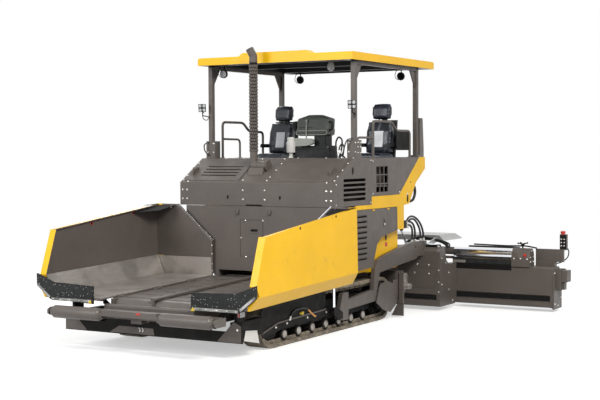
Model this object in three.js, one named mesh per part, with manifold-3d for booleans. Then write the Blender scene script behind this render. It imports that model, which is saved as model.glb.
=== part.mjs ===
// Asphalt paver on crawler tracks: hopper at the front (-Y), floating screed at the rear (+Y).
// Millimetres, +Z up, +X is the machine's left side. The ground is z = 0.
import * as THREE from 'three';
import { ConvexGeometry } from 'three/addons/geometries/ConvexGeometry.js';
import { mergeVertices } from 'three/addons/utils/BufferGeometryUtils.js';
import Module from 'manifold-3d';

// ---------------------------------------------------------------- driving sizes
const GAP = 0.3;
const PIN_PLAY = 1;
const BODY_HALF_WIDTH = 1250;
const RECESS_HALF_WIDTH = 1145;
const FRONT_Y = -2868.5;
const REAR_Y = 4146;

const HOOD = { y1: 1105, slopeY: 560, z0: 1690, bandZ: 2010, topZ: 2345, skin: 10 };
const LID = { inner: { left: 200, right: 290 }, outer: 1200, thick: 12, lowY: 40, highY: 530, lugX: 1120 };
const STACK = { x: -195, y: 300, ductZ: 2240, ductR: 68, sleeveZ: 2440, bendZ: 3800 };
const FRONT_WALL = { z0: 790, z1: 1686, thick: 20 };
const HATCH = { x0: -240, x1: 137, z0: 975, z1: 1500, groove: 8 };
const ENGINE = { halfX: 400, y0: 220, y1: 1500, z1: 1600 };

const TUNNEL = { inner: 600, outer: 640, floorZ: 330, plate: 20, roofZ: 960, rearY: 2130 };
const FENDER = { z0: 730, z1: 750 };
const BEAM_Y = [-900, 1000];

const PLATFORM = { y0: 1105.3, y1: 2560, z0: 1930, z1: 1960, wall: 12 };
const CANOPY = { x: 1180, frontY: 710, rearY: 2710, post: 66, railZ: 3640, roofZ0: 3690, roofZ1: 3800 };
const ROOF = { half: 1270, y0: 490, y1: 3180, humpX0: -500, humpX1: 550, humpZ: 3845, rim: 60 };

const WING = {
  slopeDeg: 1.925,
  hingeX: 655,
  hingeZ: 711,
  edgeX: 673,
  floorX: 1500,
  wallX: 1625,
  wallThick: 18,
  foldZ: 135,
  lipX: 1540,
  plate: 14,
  rearY: -30,
  knuckleR: 16,
};
const FLAP = { y0: -2585, y1: -2555 };
const CONVEYOR = {
  x0: 25,
  x1: 590,
  y0: -2240,
  y1: 2130,
  topZ: -14,
  radius: 88,
  band: 14,
  slat: 9,
  pitch: 290,
};

const TRACK = { x0: 847, x1: 1147, frontY: -1410, rearY: 1600, radius: 310, band: 48, shoes: 54, notch: 12 };

const SKIRT = { half: 1332, y0: -2400, y1: -2372, z0: 200, z1: 330, earX: 1222, earZ: 465 };
const NOSE_BOX = { x0: 1150, x1: 1250, y1: -1790, z0: 240, z1: 440 };
const TRACK_COVER = { x0: 1147.5, x1: 1157, y0: -1700, y1: -80, z1: 640 };
const LIP = { half: 680, y0: -2440, z0: 480, z1: 560 };
const PUSH = { axisY: -2790, axisZ: 480, radius: 78.5, x0: 440, x1: 1228, pivotY: -2560, pin: 22, taper: 24 };

const TOW = { x0: 1158, x1: 1220, pinY: 211, pinZ: 223, pinR: 28, eyeR: 58 };
const LEVEL = { x: 1203, y: 65, rodZ: 344, barrelZ: 632, topZ: 1120 };
const AUGER = { y: 2520, z: 400, shaft: 45, radius: 200, x0: 90, x1: 1190, pitch: 300, bladeDeg: 16 };
const CHAMBER = { y0: 2200, y1: 2216, half: 1205, z0: 170, sideX: 1324, sideY: 1960, topZ: 667 };

const SCREED = { half: 1500, endX: 1440, y0: 2895.3, wallY: 3290, toeY: 3470, z0: 60, topZ: 965 };
const EXTENSION = { x0: 1420, endX: 3010, x1: 3075, y0: 3550, y1: 3900, z0: 60, topZ: 670 };
const HOUSING = { x0: 590, x1: 850, centre: 90, y0: 3200, y1: 3860, z0: 715, z1: 945 };
const GUIDE = {
  leftY: 3640,
  rightY: 3780,
  upperZ: 865,
  upperR: 60,
  lowerZ: 762,
  lowerR: 22,
  x0: 620,
  x1: 2440,
};
const DECK = { half: 1250, y0: 3420, y1: 4045, z0: 1030, z1: 1115, slope: 85, skin: 28 };

const LIFT = {
  x: 1076,
  topY: 2190,
  topZ: 1600,
  eyeY: 2620,
  eyeZ: 985,
  pinR: 11,
  boreR: 18,
  barrelR: 29,
  rodR: 15,
  barrelLength: 422,
  rodInset: 350,
  mountTail: 140,
  mountHead: 36,
  lugInner: 35,
  lugOuter: 47,
};
const WING_JACK = { y: -2090, baseX: 690, baseZ: -311, eyeX: 1000, eyeZ: -62, lug: 14, eyeHalf: 31.4 };
const SEAT = {
  leftX: 840,
  rightX: -862,
  padHalf: 235,
  backHalf: 215,
  armHalf: 244,
  backTop: 2885,
  headTop: 3140,
};
const CONSOLE_X = 35;
const SCREEN_BOX = { x0: 1150, y0: 2752, y1: 2892, topZ: 2935 };

const COLOUR = {
  paint: 0x5f5850,
  yellow: 0xf5b81c,
  black: 0x1d1d1d,
  steel: 0x77736c,
  chrome: 0xc9ccd2,
  rubber: 0x151515,
  track: 0x6a5d4c,
  cushion: 0x20242c,
};

// ---------------------------------------------------------------- shape helpers
const wasm = await Module();
wasm.setup();

const paver = new THREE.Group();
paver.name = 'asphalt_paver';
paver.position.y = -(FRONT_Y + REAR_Y) / 2;

function solidOf(geometry) {
  const bare = geometry.index ? geometry.toNonIndexed() : geometry.clone();
  bare.deleteAttribute('normal');
  bare.deleteAttribute('uv');
  const welded = mergeVertices(bare, 0.001);
  const kept = [];
  const index = welded.index.array;
  for (let i = 0; i < index.length; i += 3) {
    const [a, b, c] = [index[i], index[i + 1], index[i + 2]];
    if (a !== b && b !== c && c !== a) {
      kept.push(a, b, c);
    }
  }
  return new wasm.Manifold(new wasm.Mesh({
    numProp: 3,
    vertProperties: new Float32Array(welded.attributes.position.array),
    triVerts: new Uint32Array(kept),
  }));
}

function union(...solids) {
  return solids.reduce((sum, next) => sum.add(next));
}

function cut(body, ...tools) {
  return tools.reduce((left, tool) => left.subtract(tool), body);
}

function block(x0, x1, y0, y1, z0, z1) {
  const geometry = new THREE.BoxGeometry(Math.abs(x1 - x0), Math.abs(y1 - y0), Math.abs(z1 - z0));
  geometry.translate((x0 + x1) / 2, (y0 + y1) / 2, (z0 + z1) / 2);
  return solidOf(geometry);
}

// Smallest convex body round a set of boxes, each given as [x0, x1, y0, y1, z0, z1].
function hullRound(boxes) {
  const corners = boxes.flatMap(([x0, x1, y0, y1, z0, z1]) => [
    [x0, y0, z0],
    [x1, y0, z0],
    [x0, y1, z0],
    [x1, y1, z0],
    [x0, y0, z1],
    [x1, y0, z1],
    [x0, y1, z1],
    [x1, y1, z1],
  ]);
  return solidOf(new ConvexGeometry(corners.map((corner) => new THREE.Vector3(...corner))));
}

function turned(points, clockwise) {
  const corners = points.map(([a, b]) => new THREE.Vector2(a, b));
  return THREE.ShapeUtils.isClockWise(corners) === clockwise ? corners : corners.reverse();
}

function outline(points, holes = []) {
  const shape = new THREE.Shape(turned(points, false));
  for (const hole of holes) {
    shape.holes.push(new THREE.Path(turned(hole, true)));
  }
  return shape;
}

function extruded(shape, depth, axes, offset) {
  const geometry = new THREE.ExtrudeGeometry(shape, { depth, bevelEnabled: false, curveSegments: 10 });
  geometry.applyMatrix4(new THREE.Matrix4().makeBasis(...axes));
  geometry.translate(offset.x, offset.y, offset.z);
  return solidOf(geometry);
}

const X_AXIS = new THREE.Vector3(1, 0, 0);
const Y_AXIS = new THREE.Vector3(0, 1, 0);
const Z_AXIS = new THREE.Vector3(0, 0, 1);

// Plate whose outline lies in the side view (y, z).
function sidePlate(points, x0, x1, holes) {
  const start = new THREE.Vector3(Math.min(x0, x1), 0, 0);
  return extruded(outline(points, holes), Math.abs(x1 - x0), [Y_AXIS, Z_AXIS, X_AXIS], start);
}

// Plate whose outline lies in the front view (x, z).
function crossPlate(points, y0, y1, holes) {
  const start = new THREE.Vector3(0, Math.max(y0, y1), 0);
  const back = Y_AXIS.clone().negate();
  return extruded(outline(points, holes), Math.abs(y1 - y0), [X_AXIS, Z_AXIS, back], start);
}

function rod(from, to, radius, sides = 16, tipRadius = radius) {
  const a = new THREE.Vector3(...from);
  const b = new THREE.Vector3(...to);
  const axis = b.clone().sub(a);
  const geometry = new THREE.CylinderGeometry(tipRadius, radius, axis.length(), sides);
  geometry.applyQuaternion(new THREE.Quaternion().setFromUnitVectors(Y_AXIS, axis.clone().normalize()));
  geometry.translate(...a.add(b).multiplyScalar(0.5).toArray());
  return solidOf(geometry);
}

function roundedPath(points, bend) {
  const corners = points.map((p) => new THREE.Vector3(...p));
  const path = new THREE.CurvePath();
  let from = corners[0];
  for (let i = 1; i < corners.length - 1; i += 1) {
    const into = corners[i - 1].clone().sub(corners[i]).setLength(bend).add(corners[i]);
    const out = corners[i + 1].clone().sub(corners[i]).setLength(bend).add(corners[i]);
    path.add(new THREE.LineCurve3(from, into));
    path.add(new THREE.QuadraticBezierCurve3(into, corners[i], out));
    from = out;
  }
  path.add(new THREE.LineCurve3(from, corners[corners.length - 1]));
  return path;
}

function pipe(points, radius, bend, steps, sides = 8) {
  const ring = [];
  for (let i = 0; i < sides; i += 1) {
    const turn = (2 * Math.PI * i) / sides;
    ring.push([radius * Math.cos(turn), radius * Math.sin(turn)]);
  }
  const extrudePath = roundedPath(points, bend);
  return solidOf(new THREE.ExtrudeGeometry(outline(ring), { steps, extrudePath, bevelEnabled: false }));
}

function mirrored(solid) {
  return solid.mirror([1, 0, 0]);
}

function tilted(solid) {
  return solid.rotate([WING.slopeDeg, 0, 0]).translate([0, 0, WING.hingeZ]);
}

function place(name, solid, colour, roughness = 0.6, metalness = 0.2) {
  const mesh = solid.getMesh();
  const geometry = new THREE.BufferGeometry();
  geometry.setAttribute('position', new THREE.BufferAttribute(mesh.vertProperties, 3));
  geometry.setIndex(new THREE.BufferAttribute(mesh.triVerts, 1));
  geometry.computeVertexNormals();
  const material = new THREE.MeshStandardMaterial({ color: colour, roughness, metalness });
  const piece = new THREE.Mesh(geometry, material);
  piece.name = name;
  paver.add(piece);
}

function placePair(name, solid, colour, roughness, metalness) {
  place(`${name}_left`, solid, colour, roughness, metalness);
  place(`${name}_right`, mirrored(solid), colour, roughness, metalness);
}

function slots(count, pitch, makeSlot) {
  return union(...Array.from({ length: count }, (_, i) => makeSlot(i * pitch)));
}

// ---------------------------------------------------------------- main frame
const tunnelSide = sidePlate(
  [
    [-2350, TUNNEL.floorZ],
    [TUNNEL.rearY, TUNNEL.floorZ],
    [TUNNEL.rearY, TUNNEL.roofZ],
    [0, TUNNEL.roofZ],
    [0, WING.hingeZ - 12],
    [-2350, WING.hingeZ - 91],
  ],
  TUNNEL.inner,
  TUNNEL.outer,
);
const hingeBlocks = [-2200, -1450, -700].map((y) => union(
  block(TUNNEL.inner, WING.hingeX, y, y + 110, -60, -17),
  rod([WING.hingeX, y, 0], [WING.hingeX, y + 110, 0], WING.knuckleR, 12),
  block(TUNNEL.inner, WING.hingeX, y, y + 110, -40, 0),
));
const hingeRow = tilted(union(...hingeBlocks));
const trackBeams = BEAM_Y.map((y) => block(TUNNEL.inner, 899.7, y - 90, y + 90, 330, 470));
const jackMount = tilted(union(
  ...[-1, 1].map((side) => block(
    TUNNEL.inner,
    WING_JACK.baseX + 32,
    WING_JACK.y + side * 38,
    WING_JACK.y + side * (38 + WING_JACK.lug),
    WING_JACK.baseZ - 40,
    WING_JACK.baseZ + 40,
  )),
  rod(
    [WING_JACK.baseX, WING_JACK.y - 50, WING_JACK.baseZ],
    [WING_JACK.baseX, WING_JACK.y + 50, WING_JACK.baseZ],
    15,
    12,
  ),
));
const fender = block(TUNNEL.inner, RECESS_HALF_WIDTH - GAP - 20, 0, TUNNEL.rearY + 20, FENDER.z0, FENDER.z1);
const liftMount = union(
  ...[[-LIFT.lugOuter, -LIFT.lugInner], [LIFT.lugInner, LIFT.lugOuter]].map(([inner, outer]) => block(
    LIFT.x + inner,
    LIFT.x + outer,
    TUNNEL.rearY,
    LIFT.topY + 40,
    LIFT.topZ - LIFT.mountTail,
    LIFT.topZ + LIFT.mountHead,
  )),
  rod([LIFT.x - 45, LIFT.topY, LIFT.topZ], [LIFT.x + 45, LIFT.topY, LIFT.topZ], 16, 12),
);
const frameHalf = union(tunnelSide, hingeRow, ...trackBeams, jackMount, fender, liftMount);
const conveyorBed = tilted(block(-TUNNEL.inner, TUNNEL.inner, -2150, 2040, -90, -72));
const centreRail = tilted(union(
  block(-14, 14, -2330, 2120, -230, 6),
  block(-45, 45, -2330, 2120, CONVEYOR.topZ + CONVEYOR.slat + GAP, 22),
));
const frontWall = cut(
  block(-RECESS_HALF_WIDTH, RECESS_HALF_WIDTH, 0, FRONT_WALL.thick, FRONT_WALL.z0, FRONT_WALL.z1),
  cut(
    block(HATCH.x0, HATCH.x1, -1, 6, HATCH.z0, HATCH.z1),
    block(
      HATCH.x0 + HATCH.groove,
      HATCH.x1 - HATCH.groove,
      -2,
      7,
      HATCH.z0 + HATCH.groove,
      HATCH.z1 - HATCH.groove,
    ),
  ),
);
const rearWall = cut(
  block(-1124, 1124, TUNNEL.rearY, TUNNEL.rearY + 20, TUNNEL.floorZ, 1640),
  block(-TUNNEL.inner, TUNNEL.inner, TUNNEL.rearY - 1, TUNNEL.rearY + 21, 520, TUNNEL.roofZ),
  block(TUNNEL.outer, 1200, TUNNEL.rearY - 1, TUNNEL.rearY + 21, 300, FENDER.z0),
  block(-1200, -TUNNEL.outer, TUNNEL.rearY - 1, TUNNEL.rearY + 21, 300, FENDER.z0),
);
const mainFrame = union(
  frameHalf,
  mirrored(frameHalf),
  conveyorBed,
  centreRail,
  frontWall,
  rearWall,
  block(-TUNNEL.outer, TUNNEL.outer, -2340, TUNNEL.rearY, TUNNEL.floorZ, TUNNEL.floorZ + TUNNEL.plate),
  block(-TUNNEL.outer, TUNNEL.outer, 0, TUNNEL.rearY, TUNNEL.roofZ, TUNNEL.roofZ + TUNNEL.plate),
  block(-TUNNEL.outer, TUNNEL.outer, SKIRT.y1 + GAP, -2340, TUNNEL.floorZ, 560),
  block(-60, 60, -2600, -2350, 410, 470),
  rod([0, PUSH.pivotY, 380], [0, PUSH.pivotY, 500], PUSH.pin, 16),
  block(TUNNEL.inner, 1124, 0, FRONT_WALL.thick, FENDER.z0, FRONT_WALL.z0 + 1),
  block(-1124, -TUNNEL.inner, 0, FRONT_WALL.thick, FENDER.z0, FRONT_WALL.z0 + 1),
);
place('main_frame', mainFrame, COLOUR.paint);

place('engine_block', block(
  -ENGINE.halfX,
  ENGINE.halfX,
  ENGINE.y0,
  ENGINE.y1,
  TUNNEL.roofZ + TUNNEL.plate + GAP,
  ENGINE.z1,
), COLOUR.steel);

// ---------------------------------------------------------------- front end
const skirtPlate = crossPlate([
  [-SKIRT.half, SKIRT.z0],
  [SKIRT.half, SKIRT.z0],
  [SKIRT.half, SKIRT.earZ - 25],
  [SKIRT.earX, SKIRT.earZ],
  [1100, SKIRT.z1],
  [720, SKIRT.z1],
  [620, 405],
  [-620, 405],
  [-720, SKIRT.z1],
  [-1100, SKIRT.z1],
  [-SKIRT.earX, SKIRT.earZ],
  [-SKIRT.half, SKIRT.earZ - 25],
], SKIRT.y0, SKIRT.y1);
const noseBox = block(NOSE_BOX.x0, NOSE_BOX.x1, SKIRT.y1 - 1, NOSE_BOX.y1, NOSE_BOX.z0, NOSE_BOX.z1);
place('front_skirt', union(skirtPlate, noseBox, mirrored(noseBox)), COLOUR.black);

place('hopper_lip', sidePlate([
  [LIP.y0, LIP.z0],
  [SKIRT.y1, LIP.z0],
  [SKIRT.y1, LIP.z1],
  [LIP.y0 + 25, LIP.z1],
  [LIP.y0, LIP.z1 - 20],
], -LIP.half, LIP.half), COLOUR.black);

const rollerLug = sidePlate([
  [-2620, 430],
  [-2620, 530],
  [PUSH.axisY, 530],
  [PUSH.axisY - 45, PUSH.axisZ + 25],
  [PUSH.axisY - 45, PUSH.axisZ - 25],
  [PUSH.axisY, 430],
], PUSH.x1 + 4, PUSH.x1 + 28);
const innerLug = rollerLug.translate([PUSH.x0 - PUSH.x1 - 32, 0, 0]);
const axleHole = rod([350, PUSH.axisY, PUSH.axisZ], [1300, PUSH.axisY, PUSH.axisZ], 20 + GAP, 12);
const pushHalf = cut(union(rollerLug, innerLug), axleHole);
const pushBeam = union(
  pushHalf,
  mirrored(pushHalf),
  block(-1256, 1256, -2680, -2620, 430, 530),
  block(-413, 413, -2830, -2760, 472, 545),
  block(-90, 90, -2770, -2670, 472, 530),
  block(-75, 75, -2660, -2515, 477, 497),
  block(-75, 75, -2660, -2515, 383, 403),
  block(-75, 75, -2680, -2640, 383, 497),
);
place('push_beam', cut(
  pushBeam,
  rod([0, PUSH.pivotY, 360], [0, PUSH.pivotY, 520], PUSH.pin + PIN_PLAY, 16),
), COLOUR.paint);

function onRoller(x) {
  return [x, PUSH.axisY, PUSH.axisZ];
}

const neckR = PUSH.radius - PUSH.taper;
const pushRoller = union(
  rod(onRoller(PUSH.x0 + PUSH.taper), onRoller(PUSH.x1 - PUSH.taper), PUSH.radius, 28),
  rod(onRoller(PUSH.x0), onRoller(PUSH.x0 + PUSH.taper), neckR, 28, PUSH.radius),
  rod(onRoller(PUSH.x1 - PUSH.taper), onRoller(PUSH.x1), PUSH.radius, 28, neckR),
  rod(onRoller(PUSH.x0 - 26), onRoller(PUSH.x1 + 26), 20, 12),
);
placePair('push_roller', pushRoller, COLOUR.steel);

// ---------------------------------------------------------------- hopper wings
const wingSection = crossPlate([
  [WING.edgeX, 0],
  [WING.floorX, 0],
  [WING.wallX - WING.wallThick, 258],
  [WING.wallX - WING.wallThick, 1000],
  [WING.wallX, 1000],
  [WING.wallX, WING.foldZ],
  [WING.lipX, -WING.plate],
  [WING.edgeX, -WING.plate],
], -2566, WING.rearY);
const wingSide = sidePlate([
  [-2566, -40],
  [WING.rearY, -40],
  [WING.rearY, 985],
  [-60, 985],
  [-2312, 823],
  [-2530, 270],
  [-2480, 150],
  [-2566, 70],
], 600, 1700);
const wingRear = crossPlate([
  [WING.edgeX, -WING.plate],
  [WING.edgeX, 486],
  [1247, 994],
  [WING.wallX - 5, 994],
  [WING.wallX - 5, WING.foldZ],
  [WING.lipX, -WING.plate],
], WING.rearY - 15, WING.rearY);
const wingFrontRim = sidePlate([
  [-2312, 823],
  [-2530, 270],
  [-2490, 172],
  [-2476, 172],
  [-2516, 270],
  [-2297, 823],
], 1530, WING.wallX - 1);
const wingTopRim = sidePlate([
  [-2312, 823],
  [-60, 985],
  [-60, 970],
  [-2312, 808],
], 1575, WING.wallX - 1);
const wingKnuckles = [-2089.6, -1339.6, -589.6].map((y) => union(
  rod([WING.hingeX, y, 0], [WING.hingeX, y + 110, 0], WING.knuckleR, 12),
  block(WING.hingeX, WING.edgeX + 20, y, y + 110, -14, 0),
));
const wingLugs = [-1, 1].map((side) => block(
  WING_JACK.eyeX - 42,
  WING_JACK.eyeX + 42,
  WING_JACK.y + side * (WING_JACK.eyeHalf + GAP),
  WING_JACK.y + side * (WING_JACK.eyeHalf + GAP + WING_JACK.lug),
  -95,
  -5,
));
const wing = cut(
  tilted(union(
    wingSection.intersect(wingSide),
    wingRear,
    wingFrontRim,
    wingTopRim,
    ...wingKnuckles,
    ...wingLugs,
  )),
  block(600, 1700, -2700, FLAP.y1 + GAP, 0, 2000),
);
placePair('hopper_wing', wing, COLOUR.yellow, 0.5);

const flap = crossPlate([
  [740, 570],
  [1427, 597],
  [1644, 763],
  [1644, 913],
  [1380, 812],
  [740, 790],
], FLAP.y0, FLAP.y1);
placePair('wing_flap', flap, COLOUR.rubber, 0.9, 0);

// Hydraulic jack between two pins: barrel with its eye at `base`, rod with its eye at `tip`.
function jackBarrel(base, tip, radius, eyeRadius, length, axis, rodRadius) {
  const a = new THREE.Vector3(...base);
  const along = new THREE.Vector3(...tip).sub(a).normalize();
  const side = new THREE.Vector3(...axis);
  const start = a.clone().addScaledVector(along, eyeRadius * 0.5);
  const mouth = a.clone().addScaledVector(along, length);
  const eye = rod(
    a.clone().addScaledVector(side, -27).toArray(),
    a.clone().addScaledVector(side, 27).toArray(),
    eyeRadius,
    16,
  );
  const bore = rod(
    a.clone().addScaledVector(side, -60).toArray(),
    a.clone().addScaledVector(side, 60).toArray(),
    eyeRadius * 0.5 + PIN_PLAY,
    12,
  );
  const cavity = rod(
    a.clone().addScaledVector(along, eyeRadius * 1.6).toArray(),
    mouth.clone().addScaledVector(along, 2).toArray(),
    rodRadius + GAP * 2,
    12,
  );
  return cut(union(eye, rod(start.toArray(), mouth.toArray(), radius, 16)), bore, cavity);
}

function jackRod(base, tip, radius, eyeRadius, inset, axis, eyeHalf, pinHalf = 0) {
  const b = new THREE.Vector3(...tip);
  const along = b.clone().sub(new THREE.Vector3(...base)).normalize();
  const side = new THREE.Vector3(...axis);
  const inner = new THREE.Vector3(...base).addScaledVector(along, inset);
  const eye = rod(
    b.clone().addScaledVector(side, -eyeHalf).toArray(),
    b.clone().addScaledVector(side, eyeHalf).toArray(),
    eyeRadius,
    16,
  );
  const body = union(eye, rod(inner.toArray(), b.toArray(), radius, 12));
  if (pinHalf === 0) {
    return body;
  }
  return body.add(rod(
    b.clone().addScaledVector(side, -pinHalf).toArray(),
    b.clone().addScaledVector(side, pinHalf).toArray(),
    LIFT.pinR,
    12,
  ));
}

const jackBase = [WING_JACK.baseX, WING_JACK.y, WING_JACK.baseZ];
const jackTip = [WING_JACK.eyeX, WING_JACK.y, WING_JACK.eyeZ];
const wingBarrel = tilted(jackBarrel(jackBase, jackTip, 32, 30, 338, [0, 1, 0], 18));
const wingRod = tilted(jackRod(jackBase, jackTip, 18, 25, 80, [0, 1, 0], WING_JACK.eyeHalf));
placePair('wing_cylinder_barrel', wingBarrel, COLOUR.black);
placePair('wing_cylinder_rod', wingRod, COLOUR.chrome, 0.2, 1);

// ---------------------------------------------------------------- conveyors
const beltRadius = CONVEYOR.radius;
const beltZ = CONVEYOR.topZ - beltRadius;

function loopOutline(y0, y1, z, radius, steps = 8) {
  const points = [];
  for (let i = 0; i <= steps; i += 1) {
    const turn = -Math.PI / 2 + (Math.PI * i) / steps;
    points.push([y1 + radius * Math.cos(turn), z + radius * Math.sin(turn)]);
  }
  for (let i = 0; i <= steps; i += 1) {
    const turn = Math.PI / 2 + (Math.PI * i) / steps;
    points.push([y0 + radius * Math.cos(turn), z + radius * Math.sin(turn)]);
  }
  return points;
}

const beltHole = loopOutline(CONVEYOR.y0, CONVEYOR.y1, beltZ, beltRadius - CONVEYOR.band);
const belt = sidePlate(
  loopOutline(CONVEYOR.y0, CONVEYOR.y1, beltZ, beltRadius),
  CONVEYOR.x0,
  CONVEYOR.x1,
  [beltHole],
);
const slatCount = Math.floor((CONVEYOR.y1 - CONVEYOR.y0) / CONVEYOR.pitch);
const beltSlats = slots(slatCount, CONVEYOR.pitch, (offset) => {
  const y = CONVEYOR.y0 + 60 + offset;
  const slat = (z) => block(CONVEYOR.x0 + 6, CONVEYOR.x1 - 6, y, y + 34, z - 5, z + CONVEYOR.slat);
  return union(slat(beltZ + beltRadius), slat(beltZ - beltRadius - CONVEYOR.slat + 5));
});
const conveyor = tilted(union(belt, beltSlats));
placePair('conveyor', conveyor, COLOUR.paint, 0.5, 0.5);

// ---------------------------------------------------------------- crawler tracks
const loopLength = 2 * (TRACK.rearY - TRACK.frontY) + 2 * Math.PI * TRACK.radius;

function trackPoint(distance, inset) {
  const run = TRACK.rearY - TRACK.frontY;
  const arc = Math.PI * TRACK.radius;
  const r = TRACK.radius - inset;
  let s = distance % loopLength;
  if (s < run) {
    return [TRACK.frontY + s, TRACK.radius - r];
  }
  s -= run;
  if (s < arc) {
    const turn = -Math.PI / 2 + s / TRACK.radius;
    return [TRACK.rearY + r * Math.cos(turn), TRACK.radius + r * Math.sin(turn)];
  }
  s -= arc;
  if (s < run) {
    return [TRACK.rearY - s, TRACK.radius + r];
  }
  s -= run;
  const turn = Math.PI / 2 + s / TRACK.radius;
  return [TRACK.frontY + r * Math.cos(turn), TRACK.radius + r * Math.sin(turn)];
}

const shoePitch = loopLength / TRACK.shoes;
const shoeOutline = [];
for (let i = 0; i < TRACK.shoes; i += 1) {
  const start = i * shoePitch;
  shoeOutline.push(trackPoint(start + shoePitch * 0.06, 0));
  shoeOutline.push(trackPoint(start + shoePitch * 0.84, 0));
  shoeOutline.push(trackPoint(start + shoePitch * 0.87, TRACK.notch));
  shoeOutline.push(trackPoint(start + shoePitch * 1.03, TRACK.notch));
}
const trackInner = loopOutline(TRACK.frontY, TRACK.rearY, TRACK.radius, TRACK.radius - TRACK.band, 12);
const track = sidePlate(shoeOutline, TRACK.x0, TRACK.x1, [trackInner]);
placePair('track', track, COLOUR.track, 0.8, 0.3);

const wheelR = (TRACK.radius - TRACK.band) * Math.cos(Math.PI / 24) - 1;
const rollerR = 80;
const rollerZ = TRACK.band + GAP + rollerR;
const rollerYs = [-1060, -700, -340, 20, 380, 740, 1100];
const trackFrame = union(
  rod([925, TRACK.frontY, TRACK.radius], [1070, TRACK.frontY, TRACK.radius], wheelR, 24),
  rod([940, TRACK.rearY, TRACK.radius], [1055, TRACK.rearY, TRACK.radius], wheelR, 24),
  rod([1050, TRACK.frontY, TRACK.radius], [1105, TRACK.frontY, TRACK.radius], 90, 16),
  rod([1050, TRACK.rearY, TRACK.radius], [1125, TRACK.rearY, TRACK.radius], 170, 20),
  block(900, 1085, -1180, 1330, 190, 440),
  block(925, 1070, -1460, -1150, 270, 350),
  block(925, 1070, 1300, 1640, 250, 370),
  ...rollerYs.map((y) => rod([905, y, rollerZ], [1100, y, rollerZ], rollerR, 12)),
  ...[-700, 600].map((y) => union(
    rod([915, y, 515], [1080, y, 515], 2 * TRACK.radius - TRACK.band - GAP - 515, 12),
    block(960, 1040, y - 30, y + 30, 420, 520),
  )),
  sidePlate([
    [-1560, 258],
    [-1312, 318],
    [-994, 330],
    [90, 360],
    [90, 245],
    [-742, 230],
    [-1168, 224],
    [-1338, 196],
    [-1560, 165],
  ], 1075, 1150),
  sidePlate([
    [TRACK_COVER.y0, 480],
    [-1600, 600],
    [-1450, TRACK_COVER.z1],
    [TRACK_COVER.y1, TRACK_COVER.z1],
    [TRACK_COVER.y1, 300],
    [-742, 230],
    [-1168, 224],
    [-1338, 196],
    [-1668, 152],
    [TRACK_COVER.y0, 228],
  ], TRACK_COVER.x0, TRACK_COVER.x1),
);
placePair('track_frame', trackFrame, COLOUR.black);

// ---------------------------------------------------------------- engine hood
const hoodProfile = [
  [0, HOOD.z0],
  [0, HOOD.bandZ],
  [HOOD.slopeY, HOOD.topZ],
  [HOOD.y1, HOOD.topZ],
  [HOOD.y1, HOOD.z0],
];
const hoodCavity = [
  [HOOD.skin, HOOD.z0 - 5],
  [HOOD.skin, HOOD.bandZ - 5],
  [HOOD.slopeY + 3, HOOD.topZ - HOOD.skin],
  [HOOD.y1 - HOOD.skin, HOOD.topZ - HOOD.skin],
  [HOOD.y1 - HOOD.skin, HOOD.z0 - 5],
];
const slopeRise = (HOOD.topZ - HOOD.bandZ) / HOOD.slopeY;

function slopeZ(y) {
  return HOOD.bandZ + y * slopeRise;
}

function slopeSlab(y0, y1, x0, x1, above, below) {
  return sidePlate([
    [y0, slopeZ(y0) - below],
    [y1, slopeZ(y1) - below],
    [y1, slopeZ(y1) + above],
    [y0, slopeZ(y0) + above],
  ], x0, x1);
}

const lidOpenings = union(
  slopeSlab(LID.lowY + 22, LID.highY - 25, LID.inner.left + 25, LID.outer - 25, 40, 40),
  slopeSlab(LID.lowY + 22, LID.highY - 25, -LID.outer + 25, -LID.inner.right - 25, 40, 40),
);
const hoodLouvres = slots(5, 65.4, (offset) => union(
  block(1230, 1260, 270, 918, 1762 + offset, 1806 + offset),
  block(-1260, -1230, 270, 918, 1762 + offset, 1806 + offset),
));
const hood = cut(
  sidePlate(hoodProfile, -BODY_HALF_WIDTH, BODY_HALF_WIDTH),
  sidePlate(hoodCavity, -BODY_HALF_WIDTH + HOOD.skin, BODY_HALF_WIDTH - HOOD.skin),
  lidOpenings,
  hoodLouvres,
);
place('engine_hood', hood, COLOUR.paint);

function lidPlate(x0, x1) {
  return slopeSlab(LID.lowY, LID.highY, x0, x1, LID.thick + GAP, -GAP);
}

const rightLidLouvres = slots(4, 66, (offset) => slopeSlab(133 + offset, 166 + offset, -992, -388, 40, 40));
function lidLug(x) {
  return union(
    block(x - 7, x + 7, 125, 285, slopeZ(125) + 10, slopeZ(285) + 40).intersect(
      slopeSlab(100, 300, x - 20, x + 20, 75, -8),
    ),
    rod([x, 150, slopeZ(150) + 60], [x, 150, slopeZ(150) + 118], 12, 8),
  );
}

place('hood_lid_left', union(lidPlate(LID.inner.left, LID.outer), lidLug(LID.lugX)), COLOUR.paint);
place(
  'hood_lid_right',
  union(cut(lidPlate(-LID.outer, -LID.inner.right), rightLidLouvres), lidLug(-LID.lugX)),
  COLOUR.paint,
);

function onStack(z) {
  return [STACK.x, STACK.y, z];
}

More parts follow.
